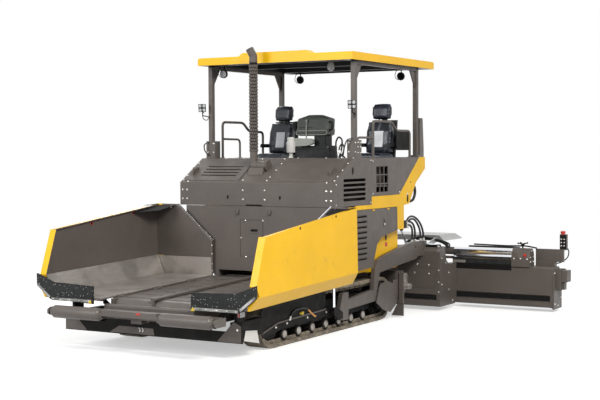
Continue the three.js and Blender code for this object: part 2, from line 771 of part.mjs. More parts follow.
const exhaust = union(
  pipe([[30, STACK.y, STACK.ductZ], onStack(STACK.ductZ), onStack(2520)], STACK.ductR - 14, 90, 10, 12),
  rod([-215, STACK.y, STACK.ductZ], [30, STACK.y, STACK.ductZ], STACK.ductR, 14),
  rod([30, STACK.y, STACK.ductZ], [48, STACK.y, STACK.ductZ], STACK.ductR + 14, 18),
  block(-235, 20, 160, STACK.y + 70, 2050, 2215),
  rod(onStack(STACK.sleeveZ), onStack(3700), 63, 16),
  pipe([onStack(3640), onStack(STACK.bendZ), [STACK.x - 40, STACK.y - 50, STACK.bendZ + 80]], 56, 50, 6, 12),
);
const hoodClearance = slopeSlab(-100, HOOD.slopeY, -500, 500, GAP, 500);
const outletBore = rod(
  onStack(STACK.bendZ - 30),
  [STACK.x - 60, STACK.y - 75, STACK.bendZ + 120],
  46,
  14,
);
place('exhaust_pipe', cut(exhaust, hoodClearance, outletBore), COLOUR.black);

// ---------------------------------------------------------------- body sides
const doorOutline = [
  [630, 1623],
  [1920, 1623],
  [1938, 1286],
  [1406, 1214],
  [1270, 1114],
  [1133, 805],
  [415, 780],
];
const doorInset = [
  [650, 1605],
  [1900, 1605],
  [1915, 1305],
  [1398, 1236],
  [1253, 1126],
  [1119, 822],
  [437, 798],
];
const doorOpening = [
  [668, 1590],
  [1884, 1590],
  [1897, 1320],
  [1391, 1252],
  [1240, 1134],
  [1107, 838],
  [458, 815],
];
const sideFrame = sidePlate([
  [620, 1628],
  [620, HOOD.z0 - 2],
  [HOOD.y1 + 3, HOOD.z0 - 2],
  [HOOD.y1 + 3, 1803],
  [2000, 1803],
  [2690, 2345],
  [2896, 2345],
  [2896, 2167],
  [2570, 1963],
  [2332, 1656],
  [2150, 1641],
  [2150, 1290],
  [1945, 1290],
  [1930, 1628],
], 1232, BODY_HALF_WIDTH);
const doorRing = sidePlate(doorInset, RECESS_HALF_WIDTH - 5, 1232 - GAP, [doorOpening]);
const recessPanel = sidePlate([
  [FRONT_WALL.thick + GAP, 735],
  [2150, 735],
  [2150, 1641],
  [1930, 1665],
  [FRONT_WALL.thick + GAP, 1665],
], RECESS_HALF_WIDTH - 20, RECESS_HALF_WIDTH);
const sideShelf = block(RECESS_HALF_WIDTH - 20, 1240, 640, 2150, 1630, 1650);
const rearPost = block(RECESS_HALF_WIDTH - 20, 1240, 2135, 2150, 1290, 1641);
const recessLip = block(RECESS_HALF_WIDTH - 60, RECESS_HALF_WIDTH, 1150, 2110, 722, 740);
const sideBody = union(sideFrame, doorRing, recessPanel, sideShelf, rearPost, recessLip);
const fenderTrim = block(600, RECESS_HALF_WIDTH - 20 + GAP, -10, 2160, 700, FENDER.z1 + GAP);
placePair('side_body', cut(sideBody, fenderTrim), COLOUR.yellow, 0.5);

const doorLouvres = slots(9, 74, (offset) => block(1200, 1300, 662, 962, 925 + offset, 957 + offset));
const sideDoor = cut(sidePlate(doorOutline, 1232, BODY_HALF_WIDTH), doorLouvres);
placePair('side_door', sideDoor, COLOUR.paint, 0.5);

const grille = slots(3, 130, (across) => slots(3, 126, (up) => block(
  1200,
  1300,
  1247 + across,
  1365 + across,
  1858 + up,
  1969 + up,
)));
const sidePanel = cut(
  sidePlate([
    [HOOD.y1 + 3, 1806],
    [HOOD.y1 + 3, HOOD.topZ],
    [2685, HOOD.topZ],
    [1999, 1806],
  ], 1232, BODY_HALF_WIDTH),
  grille,
);
placePair('side_panel', sidePanel, COLOUR.paint);

// ---------------------------------------------------------------- operator platform
const platformInner = 1232 - GAP;
const rearSkin = sidePlate([
  [2886, 2345],
  [2886, 2172],
  [2563, 1971],
  [2325, 1664],
  [2151, 1655],
  [2151, 1643],
  [2331, 1654],
  [2571, 1959],
  [2896, 2163],
  [2896, 2345],
], -platformInner, platformInner);
const rearGate = union(
  cut(rearSkin, block(-520, 520, 2590, 2950, 1975, 2400)),
  block(-platformInner, -520, 2560, 2896, 2325, 2345),
  block(520, platformInner, 2560, 2896, 2325, 2345),
  block(-532, -520, 2570, 2890, 1965, 2345),
  block(520, 532, 2570, 2890, 1965, 2345),
  block(-platformInner, -520, 2560, 2572, 1940, 2345),
  block(520, platformInner, 2560, 2572, 1940, 2345),
);
const gateTrim = sidePlate([
  [2500, 1900],
  [2571, 1959],
  [2896, 2163],
  [2950, 2163],
  [2950, 1900],
], -1300, 1300);
const floorPlateSolid = union(
  block(-platformInner, platformInner, PLATFORM.y0, 2572, PLATFORM.z0, PLATFORM.z1),
  block(-platformInner, platformInner, PLATFORM.y0, PLATFORM.y0 + PLATFORM.wall, 1700, HOOD.topZ),
  block(-platformInner, -1100, PLATFORM.y0, 2572, 2325, HOOD.topZ),
  block(1100, platformInner, PLATFORM.y0, 2572, 2325, HOOD.topZ),
  block(-1112, -1100, PLATFORM.y0, 2572, PLATFORM.z0, HOOD.topZ),
  block(1100, 1112, PLATFORM.y0, 2572, PLATFORM.z0, HOOD.topZ),
);
const ladderSide = sidePlate([
  [2480, 1932],
  [2520, 1932],
  [2640, 1420],
  [2600, 1420],
], 230, 252);
const ladder = union(
  ladderSide,
  mirrored(ladderSide),
  block(-240, 240, 2500, 2620, 1640, 1662),
  block(-240, 240, 2560, 2680, 1425, 1447),
);
const ladderTrim = sidePlate([
  [2151, 1655],
  [2325, 1664],
  [2563, 1971],
  [2400, 1971],
  [2151, 1700],
], -260, 260);
const screenBox = hullRound([
  [SCREEN_BOX.x0, platformInner, SCREEN_BOX.y0, SCREEN_BOX.y1, HOOD.topZ - 4, HOOD.topZ + 120],
  [SCREEN_BOX.x0 + 20, platformInner, SCREEN_BOX.y0 + 6, SCREEN_BOX.y1 - 40, 2900, SCREEN_BOX.topZ],
]);
place('operator_platform', union(
  cut(rearGate, gateTrim),
  rearSkin.intersect(gateTrim),
  floorPlateSolid,
  cut(ladder, ladderTrim),
  screenBox,
), COLOUR.paint);

// ---------------------------------------------------------------- seats and console
function seatFrame(x) {
  return union(
    block(x - 190, x + 190, 1850, 2160, PLATFORM.z1 + GAP, 2010),
    block(x - 110, x + 110, 1900, 2110, 2000, 2200),
    block(x - 230, x + 230, 1790, 2250, 2190, 2290),
    sidePlate([
      [2205, 2200],
      [2275, 2200],
      [2373, SEAT.backTop + 15],
      [2338, SEAT.backTop + 15],
    ], x - 205, x + 205),
    block(x - SEAT.armHalf, x - 222, 1930, 2270, 2500, 2545),
    block(x + 222, x + SEAT.armHalf, 1930, 2270, 2500, 2545),
    block(x - SEAT.armHalf, x + SEAT.armHalf, 2225, 2270, 2460, 2545),
    block(x - 40, x + 40, 2335, 2365, 2870, SEAT.headTop - 90),
  );
}

function seatPad(x) {
  return union(
    block(x - SEAT.padHalf, x + SEAT.padHalf, 1760, 2200 - GAP, 2290 + GAP, 2400),
    sidePlate([
      [2110, 2395],
      [2228, 2395],
      [2297, SEAT.backTop],
      [2195, SEAT.backTop],
    ], x - SEAT.backHalf, x + SEAT.backHalf),
    block(x - 60, x + 60, 2240, 2300, SEAT.backTop - 20, SEAT.backTop + 60),
    sidePlate([
      [2205, SEAT.headTop - 225],
      [2303, SEAT.headTop - 225],
      [2331, SEAT.headTop],
      [2250, SEAT.headTop],
    ], x - 145, x + 145),
  );
}

function placeSeat(side, x) {
  const base = seatFrame(x);
  const pad = cut(seatPad(x), base.translate([0, -GAP, 0]), base.translate([0, 0, GAP]));
  place(`seat_frame_${side}`, base, COLOUR.black);
  place(`seat_cushion_${side}`, pad, COLOUR.cushion, 0.7, 0);
}

placeSeat('left', SEAT.leftX);
placeSeat('right', SEAT.rightX);

const consoleHead = hullRound([
  [-252, 252, 1530, 1780, 2648, 2656],
  [-264, 264, 1520, 1800, 2756, 2764],
  [-200, 200, 1570, 1800, 2886, 2894],
  [-110, 110, 1640, 1780, 2970, 2978],
]);
place('control_console', union(
  consoleHead,
  block(-15, 155, 1600, 1760, 2500, 2660),
  block(-245, 225, 1540, 1780, 2000, 2520),
  block(-180, 180, 1560, 1760, PLATFORM.z1 + GAP, 2010),
).translate([CONSOLE_X, 0, 0]), COLOUR.black);

// ---------------------------------------------------------------- handrails
const railR = 19;
const leftRail = union(
  pipe([
    [1150, 1345, HOOD.topZ + GAP],
    [1150, 1345, 2865],
    [1150, 1935, 2865],
    [1150, 2110, 2738],
    [1150, 2560, 2738],
    [1150, 2560, HOOD.topZ + GAP],
  ], railR, 70, 24, 6),
  rod([1150, 860, 2630], [1150, 1345, 2630], railR - 3, 8),
  rod([1150, 862, 2630], [1150, 862, HOOD.topZ + GAP], railR - 3, 8),
  block(1147, 1153, 2105, 2560, 2450, 2724),
);
place('handrail_left', leftRail, COLOUR.black);
const rightRail = union(
  pipe([
    [-1150, 950, HOOD.topZ + GAP],
    [-1150, 950, 2878],
    [-1150, 1509, 2878],
    [-1150, 1678, 2748],
    [-1150, 2080, 2740],
    [-1150, 2080, HOOD.topZ + GAP],
  ], railR, 70, 24, 6),
  pipe([
    [-1150, 950, 2629],
    [-1150, 1419, 2623],
    [-1150, 1419, HOOD.topZ + GAP],
  ], railR - 3, 60, 10, 6),
);
place('handrail_right', rightRail, COLOUR.black);

// ---------------------------------------------------------------- canopy
const postHalf = CANOPY.post / 2;

function post(y) {
  return block(
    CANOPY.x - postHalf,
    CANOPY.x + postHalf,
    y - postHalf,
    y + postHalf,
    HOOD.topZ + GAP,
    CANOPY.roofZ0 - GAP,
  );
}

function gusset(y, direction) {
  return sidePlate([
    [y, 3380],
    [y + direction * 180, CANOPY.railZ + 5],
    [y, CANOPY.railZ + 5],
  ], CANOPY.x - 10, CANOPY.x + 10);
}

const canopySide = union(
  post(CANOPY.frontY),
  post(CANOPY.rearY),
  block(CANOPY.x - 30, CANOPY.x + 30, CANOPY.frontY, CANOPY.rearY, CANOPY.railZ, CANOPY.roofZ0 - GAP),
  gusset(CANOPY.frontY + postHalf - 1, 1),
  gusset(CANOPY.rearY - postHalf + 1, -1),
  block(1095, 1249, 665, 800, HOOD.topZ + GAP, 2595),
  block(1110, 1245, 2640, SCREEN_BOX.y0 - 6, HOOD.topZ + GAP, 2375),
);
placePair('canopy_frame', canopySide, COLOUR.black);

const roofEdge = 24;
const roofSlab = sidePlate([
  [ROOF.y0, CANOPY.roofZ0],
  [ROOF.y1, CANOPY.roofZ0],
  [ROOF.y1, CANOPY.roofZ1 - roofEdge],
  [ROOF.y1 - roofEdge, CANOPY.roofZ1],
  [ROOF.y0 + roofEdge, CANOPY.roofZ1],
  [ROOF.y0, CANOPY.roofZ1 - roofEdge],
], -ROOF.half, ROOF.half);
const roofHump = crossPlate([
  [ROOF.humpX0 - 110, CANOPY.roofZ1 - 30],
  [ROOF.humpX1 + 110, CANOPY.roofZ1 - 30],
  [ROOF.humpX1, ROOF.humpZ],
  [ROOF.humpX0, ROOF.humpZ],
], ROOF.y0, ROOF.y0 + 160);
const roofPocket = block(
  -CANOPY.x + 60,
  CANOPY.x - 60,
  ROOF.y0 + ROOF.rim,
  ROOF.y1 - ROOF.rim,
  CANOPY.roofZ0 - 1,
  CANOPY.roofZ1 - 30,
);
const roofRibs = union(...[CANOPY.frontY, 1710, CANOPY.rearY].map((y) => block(
  -CANOPY.x,
  CANOPY.x,
  y - 25,
  y + 25,
  CANOPY.roofZ0,
  CANOPY.roofZ1 - 20,
)));
place('canopy_roof', union(cut(union(roofSlab, roofHump), roofPocket), roofRibs), COLOUR.yellow, 0.5);

// ---------------------------------------------------------------- augers
const bladeHalf = THREE.MathUtils.degToRad(AUGER.bladeDeg / 2);
const screwRing = [];
for (let i = 1; i < 7; i += 1) {
  const turn = bladeHalf * 2 + ((2 * Math.PI - 4 * bladeHalf) * i) / 7;
  screwRing.push([AUGER.shaft * Math.cos(turn), AUGER.shaft * Math.sin(turn)]);
}
screwRing.push([AUGER.shaft * Math.cos(2 * bladeHalf), -AUGER.shaft * Math.sin(2 * bladeHalf)]);
screwRing.push([AUGER.radius * Math.cos(bladeHalf), -AUGER.radius * Math.sin(bladeHalf)]);
screwRing.push([AUGER.radius, 0]);
screwRing.push([AUGER.radius * Math.cos(bladeHalf), AUGER.radius * Math.sin(bladeHalf)]);
screwRing.push([AUGER.shaft * Math.cos(2 * bladeHalf), AUGER.shaft * Math.sin(2 * bladeHalf)]);

const screwLength = AUGER.x1 - AUGER.x0 - 60;
const screwGeometry = new THREE.ExtrudeGeometry(outline(screwRing), {
  depth: screwLength,
  steps: 50,
  bevelEnabled: false,
});
const screwPoints = screwGeometry.attributes.position;
for (let i = 0; i < screwPoints.count; i += 1) {
  const along = screwPoints.getZ(i);
  const corner = new THREE.Vector3().fromBufferAttribute(screwPoints, i);
  corner.applyAxisAngle(Z_AXIS, (2 * Math.PI * along) / AUGER.pitch);
  screwPoints.setXYZ(i, corner.x, corner.y, corner.z);
}
screwGeometry.applyMatrix4(new THREE.Matrix4().makeBasis(Y_AXIS, Z_AXIS, X_AXIS));
screwGeometry.translate(AUGER.x0 + 40, AUGER.y, AUGER.z);
const auger = union(
  solidOf(screwGeometry),
  rod([AUGER.x0, AUGER.y, AUGER.z], [AUGER.x1, AUGER.y, AUGER.z], AUGER.shaft - 4, 16),
);
placePair('auger', auger, COLOUR.steel, 0.5, 0.6);

const chamberFront = crossPlate([
  [-CHAMBER.half, CHAMBER.z0],
  [CHAMBER.half, CHAMBER.z0],
  [CHAMBER.half, CHAMBER.topZ],
  [640, CHAMBER.topZ],
  [600, 480],
  [-600, 480],
  [-640, CHAMBER.topZ],
  [-CHAMBER.half, CHAMBER.topZ],
], CHAMBER.y0, CHAMBER.y1);
const sideGuard = union(
  sidePlate([
    [1359, 503],
    [1391, 543],
    [1617, 565],
    [1847, 500],
    [1914, 420],
    [1913, 215],
    [1713, 105],
    [1485, 160],
    [1263, 285],
  ], 1231, 1245),
  sidePlate([
    [1800, 300],
    [CHAMBER.sideY + 5, 300],
    [CHAMBER.sideY + 5, 560],
    [1800, 560],
  ], 1231, 1245),
);
const sideChannel = cut(
  union(
    block(1195, CHAMBER.sideX, CHAMBER.sideY, CHAMBER.sideY + 40, 214, CHAMBER.topZ),
    block(1189, CHAMBER.half, CHAMBER.sideY + 10, CHAMBER.y1, 214, CHAMBER.topZ - 20),
  ),
  block(1234, 1258, CHAMBER.sideY - 1, CHAMBER.sideY + 26, 246, CHAMBER.topZ - 30),
);
const scraper = union(
  crossPlate([
    [1128, 22],
    [CHAMBER.sideX, 22],
    [CHAMBER.sideX, 215],
    [1236, 215],
  ], CHAMBER.sideY + 12, CHAMBER.sideY + 28),
);
const chamberTie = union(
  block(250, 420, TUNNEL.rearY + 20 + GAP, CHAMBER.y0 + 1, 350, 470),
  block(80, 110, CHAMBER.y0 + 1, 2300, 330, 470),
);
const chamberHalf = union(sideGuard, sideChannel, scraper, chamberTie);
place('auger_support', union(
  chamberFront,
  chamberHalf,
  mirrored(chamberHalf),
  block(-90 + GAP, 90 - GAP, 2210, 2600, 280, 470),
  block(-70, 70, 2440, 2600, 460, 620),
), COLOUR.paint);

// ---------------------------------------------------------------- tow arms and levelling cylinders
const towArmPlate = sidePlate([
  [TOW.pinY - 40, TOW.pinZ - 42],
  [TOW.pinY + 30, TOW.pinZ - 60],
  [296, 147],
  [458, 147],
  [458, 283],
  [1295, 311],
  [1411, 701],
  [1965, 755],
  [2644, 807],
  [2700, 840],
  [2895, 840],
  [2895, 1060],
  [2595, 1072],
  [2084, 1017],
  [1548, 933],
  [1368, 887],
  [1269, 774],
  [1211, 449],
  [1171, 477],
  [459, 414],
  [458, 518],
  [296, 518],
  [TOW.pinY - 10, TOW.pinZ + 58],
  [TOW.pinY - 50, TOW.pinZ + 25],
], TOW.x0, TOW.x1);
const towArm = cut(
  union(
    towArmPlate,
    rod([LIFT.x + LIFT.barrelR + 4, LIFT.eyeY, LIFT.eyeZ], [TOW.x0 + 5, LIFT.eyeY, LIFT.eyeZ], 40, 16),
  ),
  rod([1100, TOW.pinY, TOW.pinZ], [1300, TOW.pinY, TOW.pinZ], TOW.pinR + PIN_PLAY, 20),
  rod([1000, LIFT.eyeY, LIFT.eyeZ], [1300, LIFT.eyeY, LIFT.eyeZ], LIFT.boreR, 12),
);
placePair('tow_arm', towArm, COLOUR.paint);

const levelling = union(
  rod([TOW.x0 - 13 + GAP, TOW.pinY, TOW.pinZ], [1236, TOW.pinY, TOW.pinZ], TOW.pinR, 20),
  sidePlate([
    [20, 350],
    [110, 350],
    [262, 265],
    [262, 185],
    [150, 175],
    [20, 260],
  ], 1222, 1240),
  block(1180, 1240, 25, 105, 300, 350),
  rod([LEVEL.x, LEVEL.y, LEVEL.rodZ], [LEVEL.x, LEVEL.y, LEVEL.barrelZ + 10], 21, 14),
  rod([LEVEL.x, LEVEL.y, LEVEL.barrelZ], [LEVEL.x, LEVEL.y, LEVEL.topZ], 44, 18),
  block(RECESS_HALF_WIDTH + GAP, LEVEL.x, LEVEL.y - 30, LEVEL.y + 30, LEVEL.topZ - 80, LEVEL.topZ),
  block(RECESS_HALF_WIDTH + GAP, LEVEL.x, LEVEL.y - 30, LEVEL.y + 30, 760, 820),
);
placePair('levelling_cylinder', levelling, COLOUR.black);

const liftBase = [LIFT.x, LIFT.topY, LIFT.topZ];
const liftTip = [LIFT.x, LIFT.eyeY, LIFT.eyeZ];
const liftAxis = [1, 0, 0];
const liftBarrel = jackBarrel(liftBase, liftTip, LIFT.barrelR, 32, LIFT.barrelLength, liftAxis, LIFT.rodR);
const liftRod = jackRod(liftBase, liftTip, LIFT.rodR, 30, LIFT.rodInset, liftAxis, 24, 70);
placePair('lift_cylinder_barrel', liftBarrel, COLOUR.black);
placePair('lift_cylinder_rod', liftRod, COLOUR.chrome, 0.2, 1);

// ---------------------------------------------------------------- screed
const screedProfile = [
  [SCREED.y0, SCREED.z0 + 8],
  [SCREED.y0 + 25, SCREED.z0],
  [SCREED.toeY, SCREED.z0],
  [SCREED.toeY, 110],
  [SCREED.wallY, 331],
  [SCREED.wallY, 700],
  [3200, SCREED.topZ],
  [2960, SCREED.topZ],
  [SCREED.y0, 905],
  [SCREED.y0, 250],
  [SCREED.y0 + 26, 232],
  [SCREED.y0 + 26, 166],
  [SCREED.y0, 148],
];
const endPlateProfile = [
  [SCREED.y0, SCREED.z0 + 8],
  [SCREED.y0 + 25, SCREED.z0],
  [SCREED.toeY, SCREED.z0],
  [SCREED.toeY, 110],
  [SCREED.wallY - 18, 331],
  [SCREED.wallY - 18, 673],
  [SCREED.y0 + 15, 901],
  [SCREED.y0, 890],
];
const endPlate = sidePlate(endPlateProfile, SCREED.endX - 1, SCREED.half);
const armPad = block(1150, 1230, SCREED.y0, 3000, 840, 1060);
const screedBay = union(
  sidePlate([
    [2945, 95],
    [SCREED.toeY - 30, 95],
    [SCREED.toeY - 30, 105],
    [SCREED.wallY - 24, 320],
    [SCREED.wallY - 24, 695],
    [3185, SCREED.topZ - 20],
    [2972, SCREED.topZ - 20],
    [2920, 895],
    [2920, 262],
    [2945, 240],
  ], 25, SCREED.endX - 20),
  block(150, SCREED.endX - 60, SCREED.wallY - 40, SCREED.wallY + 20, 360, 660),
);
const guideBearing = block(HOUSING.x0, HOUSING.x1, HOUSING.y0, HOUSING.y1, HOUSING.z0, HOUSING.z1);
const screedBody = union(
  cut(sidePlate(screedProfile, -SCREED.endX, SCREED.endX), screedBay, mirrored(screedBay)),
  endPlate,
  mirrored(endPlate),
  armPad,
  mirrored(armPad),
  guideBearing,
  mirrored(guideBearing),
  block(-HOUSING.centre, HOUSING.centre, HOUSING.y0, HOUSING.y1, HOUSING.z0, HOUSING.z1),
);
const bores = [GUIDE.leftY, GUIDE.rightY].map((y) => union(
  rod([-900, y, GUIDE.upperZ], [900, y, GUIDE.upperZ], GUIDE.upperR + 0.8, 18),
  rod([-900, y, GUIDE.lowerZ], [900, y, GUIDE.lowerZ], GUIDE.lowerR + 0.8, 12),
));
const crownSlot = union(
  block(-5, 5, SCREED.y0 - 1, SCREED.y0 + 60, 40, 1000),
  block(-5, 5, SCREED.y0 - 1, SCREED.toeY + 1, 40, 90),
);
place('screed_main', cut(screedBody, ...bores, crownSlot), COLOUR.paint);

function deckHull(inset, lowZ, highZ) {
  const half = DECK.half - inset;
  const skirtHalf = half + DECK.slope;
  return hullRound([
    [-half, half, DECK.y0 + inset, DECK.y1 - inset, highZ - 4, highZ],
    [-skirtHalf, skirtHalf, DECK.y0 + inset, REAR_Y - inset, lowZ, lowZ + 4],
  ]);
}

const deckShell = cut(
  deckHull(0, DECK.z0, DECK.z1),
  deckHull(DECK.skin, DECK.z0 - 30, DECK.z1 - DECK.skin),
);
const deckBracket = sidePlate([
  [3060, SCREED.topZ + GAP],
  [3190, SCREED.topZ + GAP],
  [3480, 1020],
  [4000, 1050],
  [4000, DECK.z1 - DECK.skin + 3],
  [3410, DECK.z1 - DECK.skin + 3],
  [3060, 1000],
], -9, 9);
place('screed_deck', union(
  deckShell,
  ...[-1200, -420, 420, 1200].map((x) => deckBracket.translate([x, 0, 0])),
), COLOUR.steel);

function extension(guideY) {
  const core = sidePlate([
    [EXTENSION.y0, EXTENSION.z0 + 8],
    [EXTENSION.y0 + 25, EXTENSION.z0],
    [EXTENSION.y1, EXTENSION.z0],
    [EXTENSION.y1, 600],
    [EXTENSION.y1 - 50, EXTENSION.topZ],
    [EXTENSION.y0 + 20, EXTENSION.topZ],
    [EXTENSION.y0, EXTENSION.topZ - 20],
    [EXTENSION.y0, 250],
    [EXTENSION.y0 + 26, 232],
    [EXTENSION.y0 + 26, 146],
    [EXTENSION.y0, 128],
  ], EXTENSION.x0, EXTENSION.endX);
  const bay = union(
    sidePlate([
      [EXTENSION.y0 + 45, 90],
      [EXTENSION.y1 - 20, 90],
      [EXTENSION.y1 - 20, 590],
      [EXTENSION.y1 - 60, EXTENSION.topZ - 20],
      [EXTENSION.y0 + 30, EXTENSION.topZ - 20],
      [EXTENSION.y0 + 20, 262],
      [EXTENSION.y0 + 45, 240],
    ], EXTENSION.x0 + 20, EXTENSION.endX - 20),
    block(EXTENSION.x0 + 90, EXTENSION.endX - 90, EXTENSION.y1 - 60, EXTENSION.y1 + 20, 120, 560),
  );
  const endGate = union(
    sidePlate([
      [EXTENSION.y0, EXTENSION.z0],
      [EXTENSION.y1, EXTENSION.z0],
      [EXTENSION.y1, 600],
      [EXTENSION.y1 - 50, EXTENSION.topZ],
      [EXTENSION.y0 + 20, EXTENSION.topZ],
      [EXTENSION.y0, EXTENSION.topZ - 20],
    ], EXTENSION.endX - 1, EXTENSION.x1 - 24),
    sidePlate([
      [EXTENSION.y0 - 10, 40],
      [EXTENSION.y1 + 5, 40],
      [EXTENSION.y1 + 5, 330],
      [EXTENSION.y1 - 30, 640],
      [EXTENSION.y0 + 60, 640],
      [EXTENSION.y0 - 10, 560],
    ], EXTENSION.x1 - 25, EXTENSION.x1),
    block(EXTENSION.x1 - 1, 3150, 3640, 3700, 320, 640),
    block(EXTENSION.x1 - 1, 3150, 3810, 3870, 320, 640),
    block(3140, 3237, 3665, 3845, 450, 625),
    block(3140, 3185, 3700, 3800, 330, 460),
  );
  const carrier = sidePlate([
    [guideY - 110, EXTENSION.topZ - 5],
    [guideY + 110, EXTENSION.topZ - 5],
    [guideY + 110, 800],
    [guideY + 85, 890],
    [guideY + 30, 945],
    [guideY - 30, 945],
    [guideY - 85, 890],
    [guideY - 110, 800],
  ], 2400, 2690);
  return union(
    cut(core, bay),
    endGate,
    carrier,
    rod([GUIDE.x0, guideY, GUIDE.upperZ], [GUIDE.x1, guideY, GUIDE.upperZ], GUIDE.upperR, 18),
    rod([GUIDE.x0, guideY, GUIDE.lowerZ], [GUIDE.x1, guideY, GUIDE.lowerZ], GUIDE.lowerR, 12),
    block(2680, 3116, 3840, 3900, 735, 925),
    block(2700, 3000, 3780, 3890, EXTENSION.topZ - 40, 740),
    block(3058, 3165, 3848, 3908, 920, 1160),
    rod([3100, 3878, 1155], [3100, 3878, 1208], 32, 16),
  );
}

place('screed_extension_left', extension(GUIDE.leftY), COLOUR.paint);
place('screed_extension_right', mirrored(extension(GUIDE.rightY)), COLOUR.paint);

export default paver;
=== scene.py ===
"""Looks of the asphalt paver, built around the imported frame. Metres, +Z up, +X the machine's left side."""

import math

import bmesh
import bpy
from mathutils import Matrix, Vector


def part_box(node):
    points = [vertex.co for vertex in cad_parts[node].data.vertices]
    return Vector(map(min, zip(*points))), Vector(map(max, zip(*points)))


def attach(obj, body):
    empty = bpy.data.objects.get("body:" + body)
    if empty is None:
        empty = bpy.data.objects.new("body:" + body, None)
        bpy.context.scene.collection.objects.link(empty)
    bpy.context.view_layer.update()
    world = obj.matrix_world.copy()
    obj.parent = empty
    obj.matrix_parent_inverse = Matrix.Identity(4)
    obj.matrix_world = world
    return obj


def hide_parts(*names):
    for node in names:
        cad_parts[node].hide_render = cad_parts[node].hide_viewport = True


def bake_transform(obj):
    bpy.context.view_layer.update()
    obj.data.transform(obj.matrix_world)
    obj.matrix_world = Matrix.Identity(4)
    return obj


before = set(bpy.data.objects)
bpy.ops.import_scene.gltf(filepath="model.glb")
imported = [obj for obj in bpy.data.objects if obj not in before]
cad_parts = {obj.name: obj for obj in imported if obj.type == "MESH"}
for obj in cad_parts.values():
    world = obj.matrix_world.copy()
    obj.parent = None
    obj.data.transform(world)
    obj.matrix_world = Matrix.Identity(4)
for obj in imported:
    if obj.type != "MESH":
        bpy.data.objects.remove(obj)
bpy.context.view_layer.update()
ORIGIN_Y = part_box("engine_hood")[0].y
SIDES = (("left", 1), ("right", -1))
X, Y, Z = Vector((1, 0, 0)), Vector((0, 1, 0)), Vector((0, 0, 1))

# Faces that trim stands on and other places, in millimetres as for at().
BODY_FACE, RECESS_FACE, COVER_FACE = 1250, 1145, 1157
HOOD_TOP, PLATFORM_TOP = 2345, 2345.3
RAIL_X = 1150
SLOPE_FOOT, SLOPE_RISE, SLOPE_RUN = 2010, 335, 560
SKIRT_FRONT = -2400
SCREED_FRONT, EXTENSION_FRONT = 2895.3, 3550
TRACK_FRONT, TRACK_REAR, TRACK_R, TRACK_MIDDLE, SHOES = -1410, 1600, 310, 997, 54
WING_TILT = math.radians(1.925)
WING_HINGE = 711
SLOPE_ANGLE = math.atan2(SLOPE_RISE, SLOPE_RUN)
SLOPE_UP = Vector((0, -math.sin(SLOPE_ANGLE), math.cos(SLOPE_ANGLE)))


# ------------------------------------------------------------------ places
def at(x, y, z):
    """A point given in millimetres, y measured back from the front of the hood."""
    return Vector((x / 1000, y / 1000 + ORIGIN_Y, z / 1000))


def in_wing(x, y, z):
    """A point given in the hopper wing's own tilted frame, in millimetres."""
    cos, sin = math.cos(WING_TILT), math.sin(WING_TILT)
    return at(x, y * cos - z * sin, y * sin + z * cos + WING_HINGE)


def on_slope(x, y, lift=0):
    """A point on the sloping front of the hood, lifted off it by lift."""
    z = SLOPE_FOOT + y * SLOPE_RISE / SLOPE_RUN
    return at(x, y - lift * math.sin(SLOPE_ANGLE), z + lift * math.cos(SLOPE_ANGLE))


def link(name, data):
    """A new object in the scene."""
    made = bpy.data.objects.new(name, data)
    bpy.context.scene.collection.objects.link(made)
    return made


def add_node(tree, kind, inputs, **facts):
    """A shader node with its facts set, and each input given a value or joined to a socket."""
    made = tree.nodes.new("ShaderNode" + kind)
    for name, value in facts.items():
        setattr(made, name, value)
    for name, value in inputs.items():
        if isinstance(value, bpy.types.NodeSocket):
            tree.links.new(value, made.inputs[name])
        else:
            made.inputs[name].default_value = value
    return made


# ------------------------------------------------------------------ camera and light
CAMERA_AT = (9306.8, -14746.7, 2467.2)
YAW, PITCH, ROLL = math.radians(30.192), math.radians(2.286), math.radians(-0.266)
FLOOR_HALF, FLOOR_DROP = 60, 0.002
SHADOW_RADIUS, WHITE_RADIUS = 5.0, 11.0


def add_camera():
    forward = Vector((-math.sin(YAW) * math.cos(PITCH), math.cos(YAW) * math.cos(PITCH), -math.sin(PITCH)))
    right = forward.cross(Z).normalized()
    up = right.cross(forward)
    right_rolled = right * math.cos(ROLL) + up * math.sin(ROLL)
    up_rolled = up * math.cos(ROLL) - right * math.sin(ROLL)
    data = bpy.data.cameras.new("camera")
    data.lens = 75.907
    data.sensor_width = 36
    data.clip_end = 200
    camera = link("camera", data)
    turn = Matrix((right_rolled, up_rolled, -forward)).transposed().to_4x4()
    camera.matrix_world = Matrix.Translation(at(*CAMERA_AT)) @ turn
    bpy.context.scene.camera = camera


def seen_directly(tree):
    """1 for rays from the camera, a mirror or glass, 0 for light that falls on the object."""
    path = add_node(tree, "LightPath", {}).outputs
    total = path["Is Camera Ray"]
    for name in ("Is Glossy Ray", "Is Transmission Ray"):
        total = add_node(tree, "Math", {0: total, 1: path[name]}, operation="ADD", use_clamp=True).outputs[0]
    return total


def empty_tree(owner):
    owner.use_nodes = True
    owner.node_tree.nodes.clear()
    return owner.node_tree


def add_world():
    world = bpy.data.worlds.new("studio")
    bpy.context.scene.world = world
    tree = empty_tree(world)
    fill = add_node(tree, "Background", {"Color": (0.94, 0.97, 1.0, 1), "Strength": 0.55}).outputs[0]
    white = add_node(tree, "Background", {"Color": (1, 1, 1, 1), "Strength": 1.0}).outputs[0]
    mix = add_node(tree, "MixShader", {0: seen_directly(tree), 1: fill, 2: white}).outputs[0]
    add_node(tree, "OutputWorld", {0: mix})


def add_lamp(name, place, target, power, size, colour=(1, 1, 1)):
    data = bpy.data.lights.new(name, "AREA")
    data.energy = power
    data.size = size
    data.color = colour
    lamp = link(name, data)
    lamp.location = place
    lamp.rotation_euler = (Vector(target) - Vector(place)).to_track_quat("-Z", "Y").to_euler()


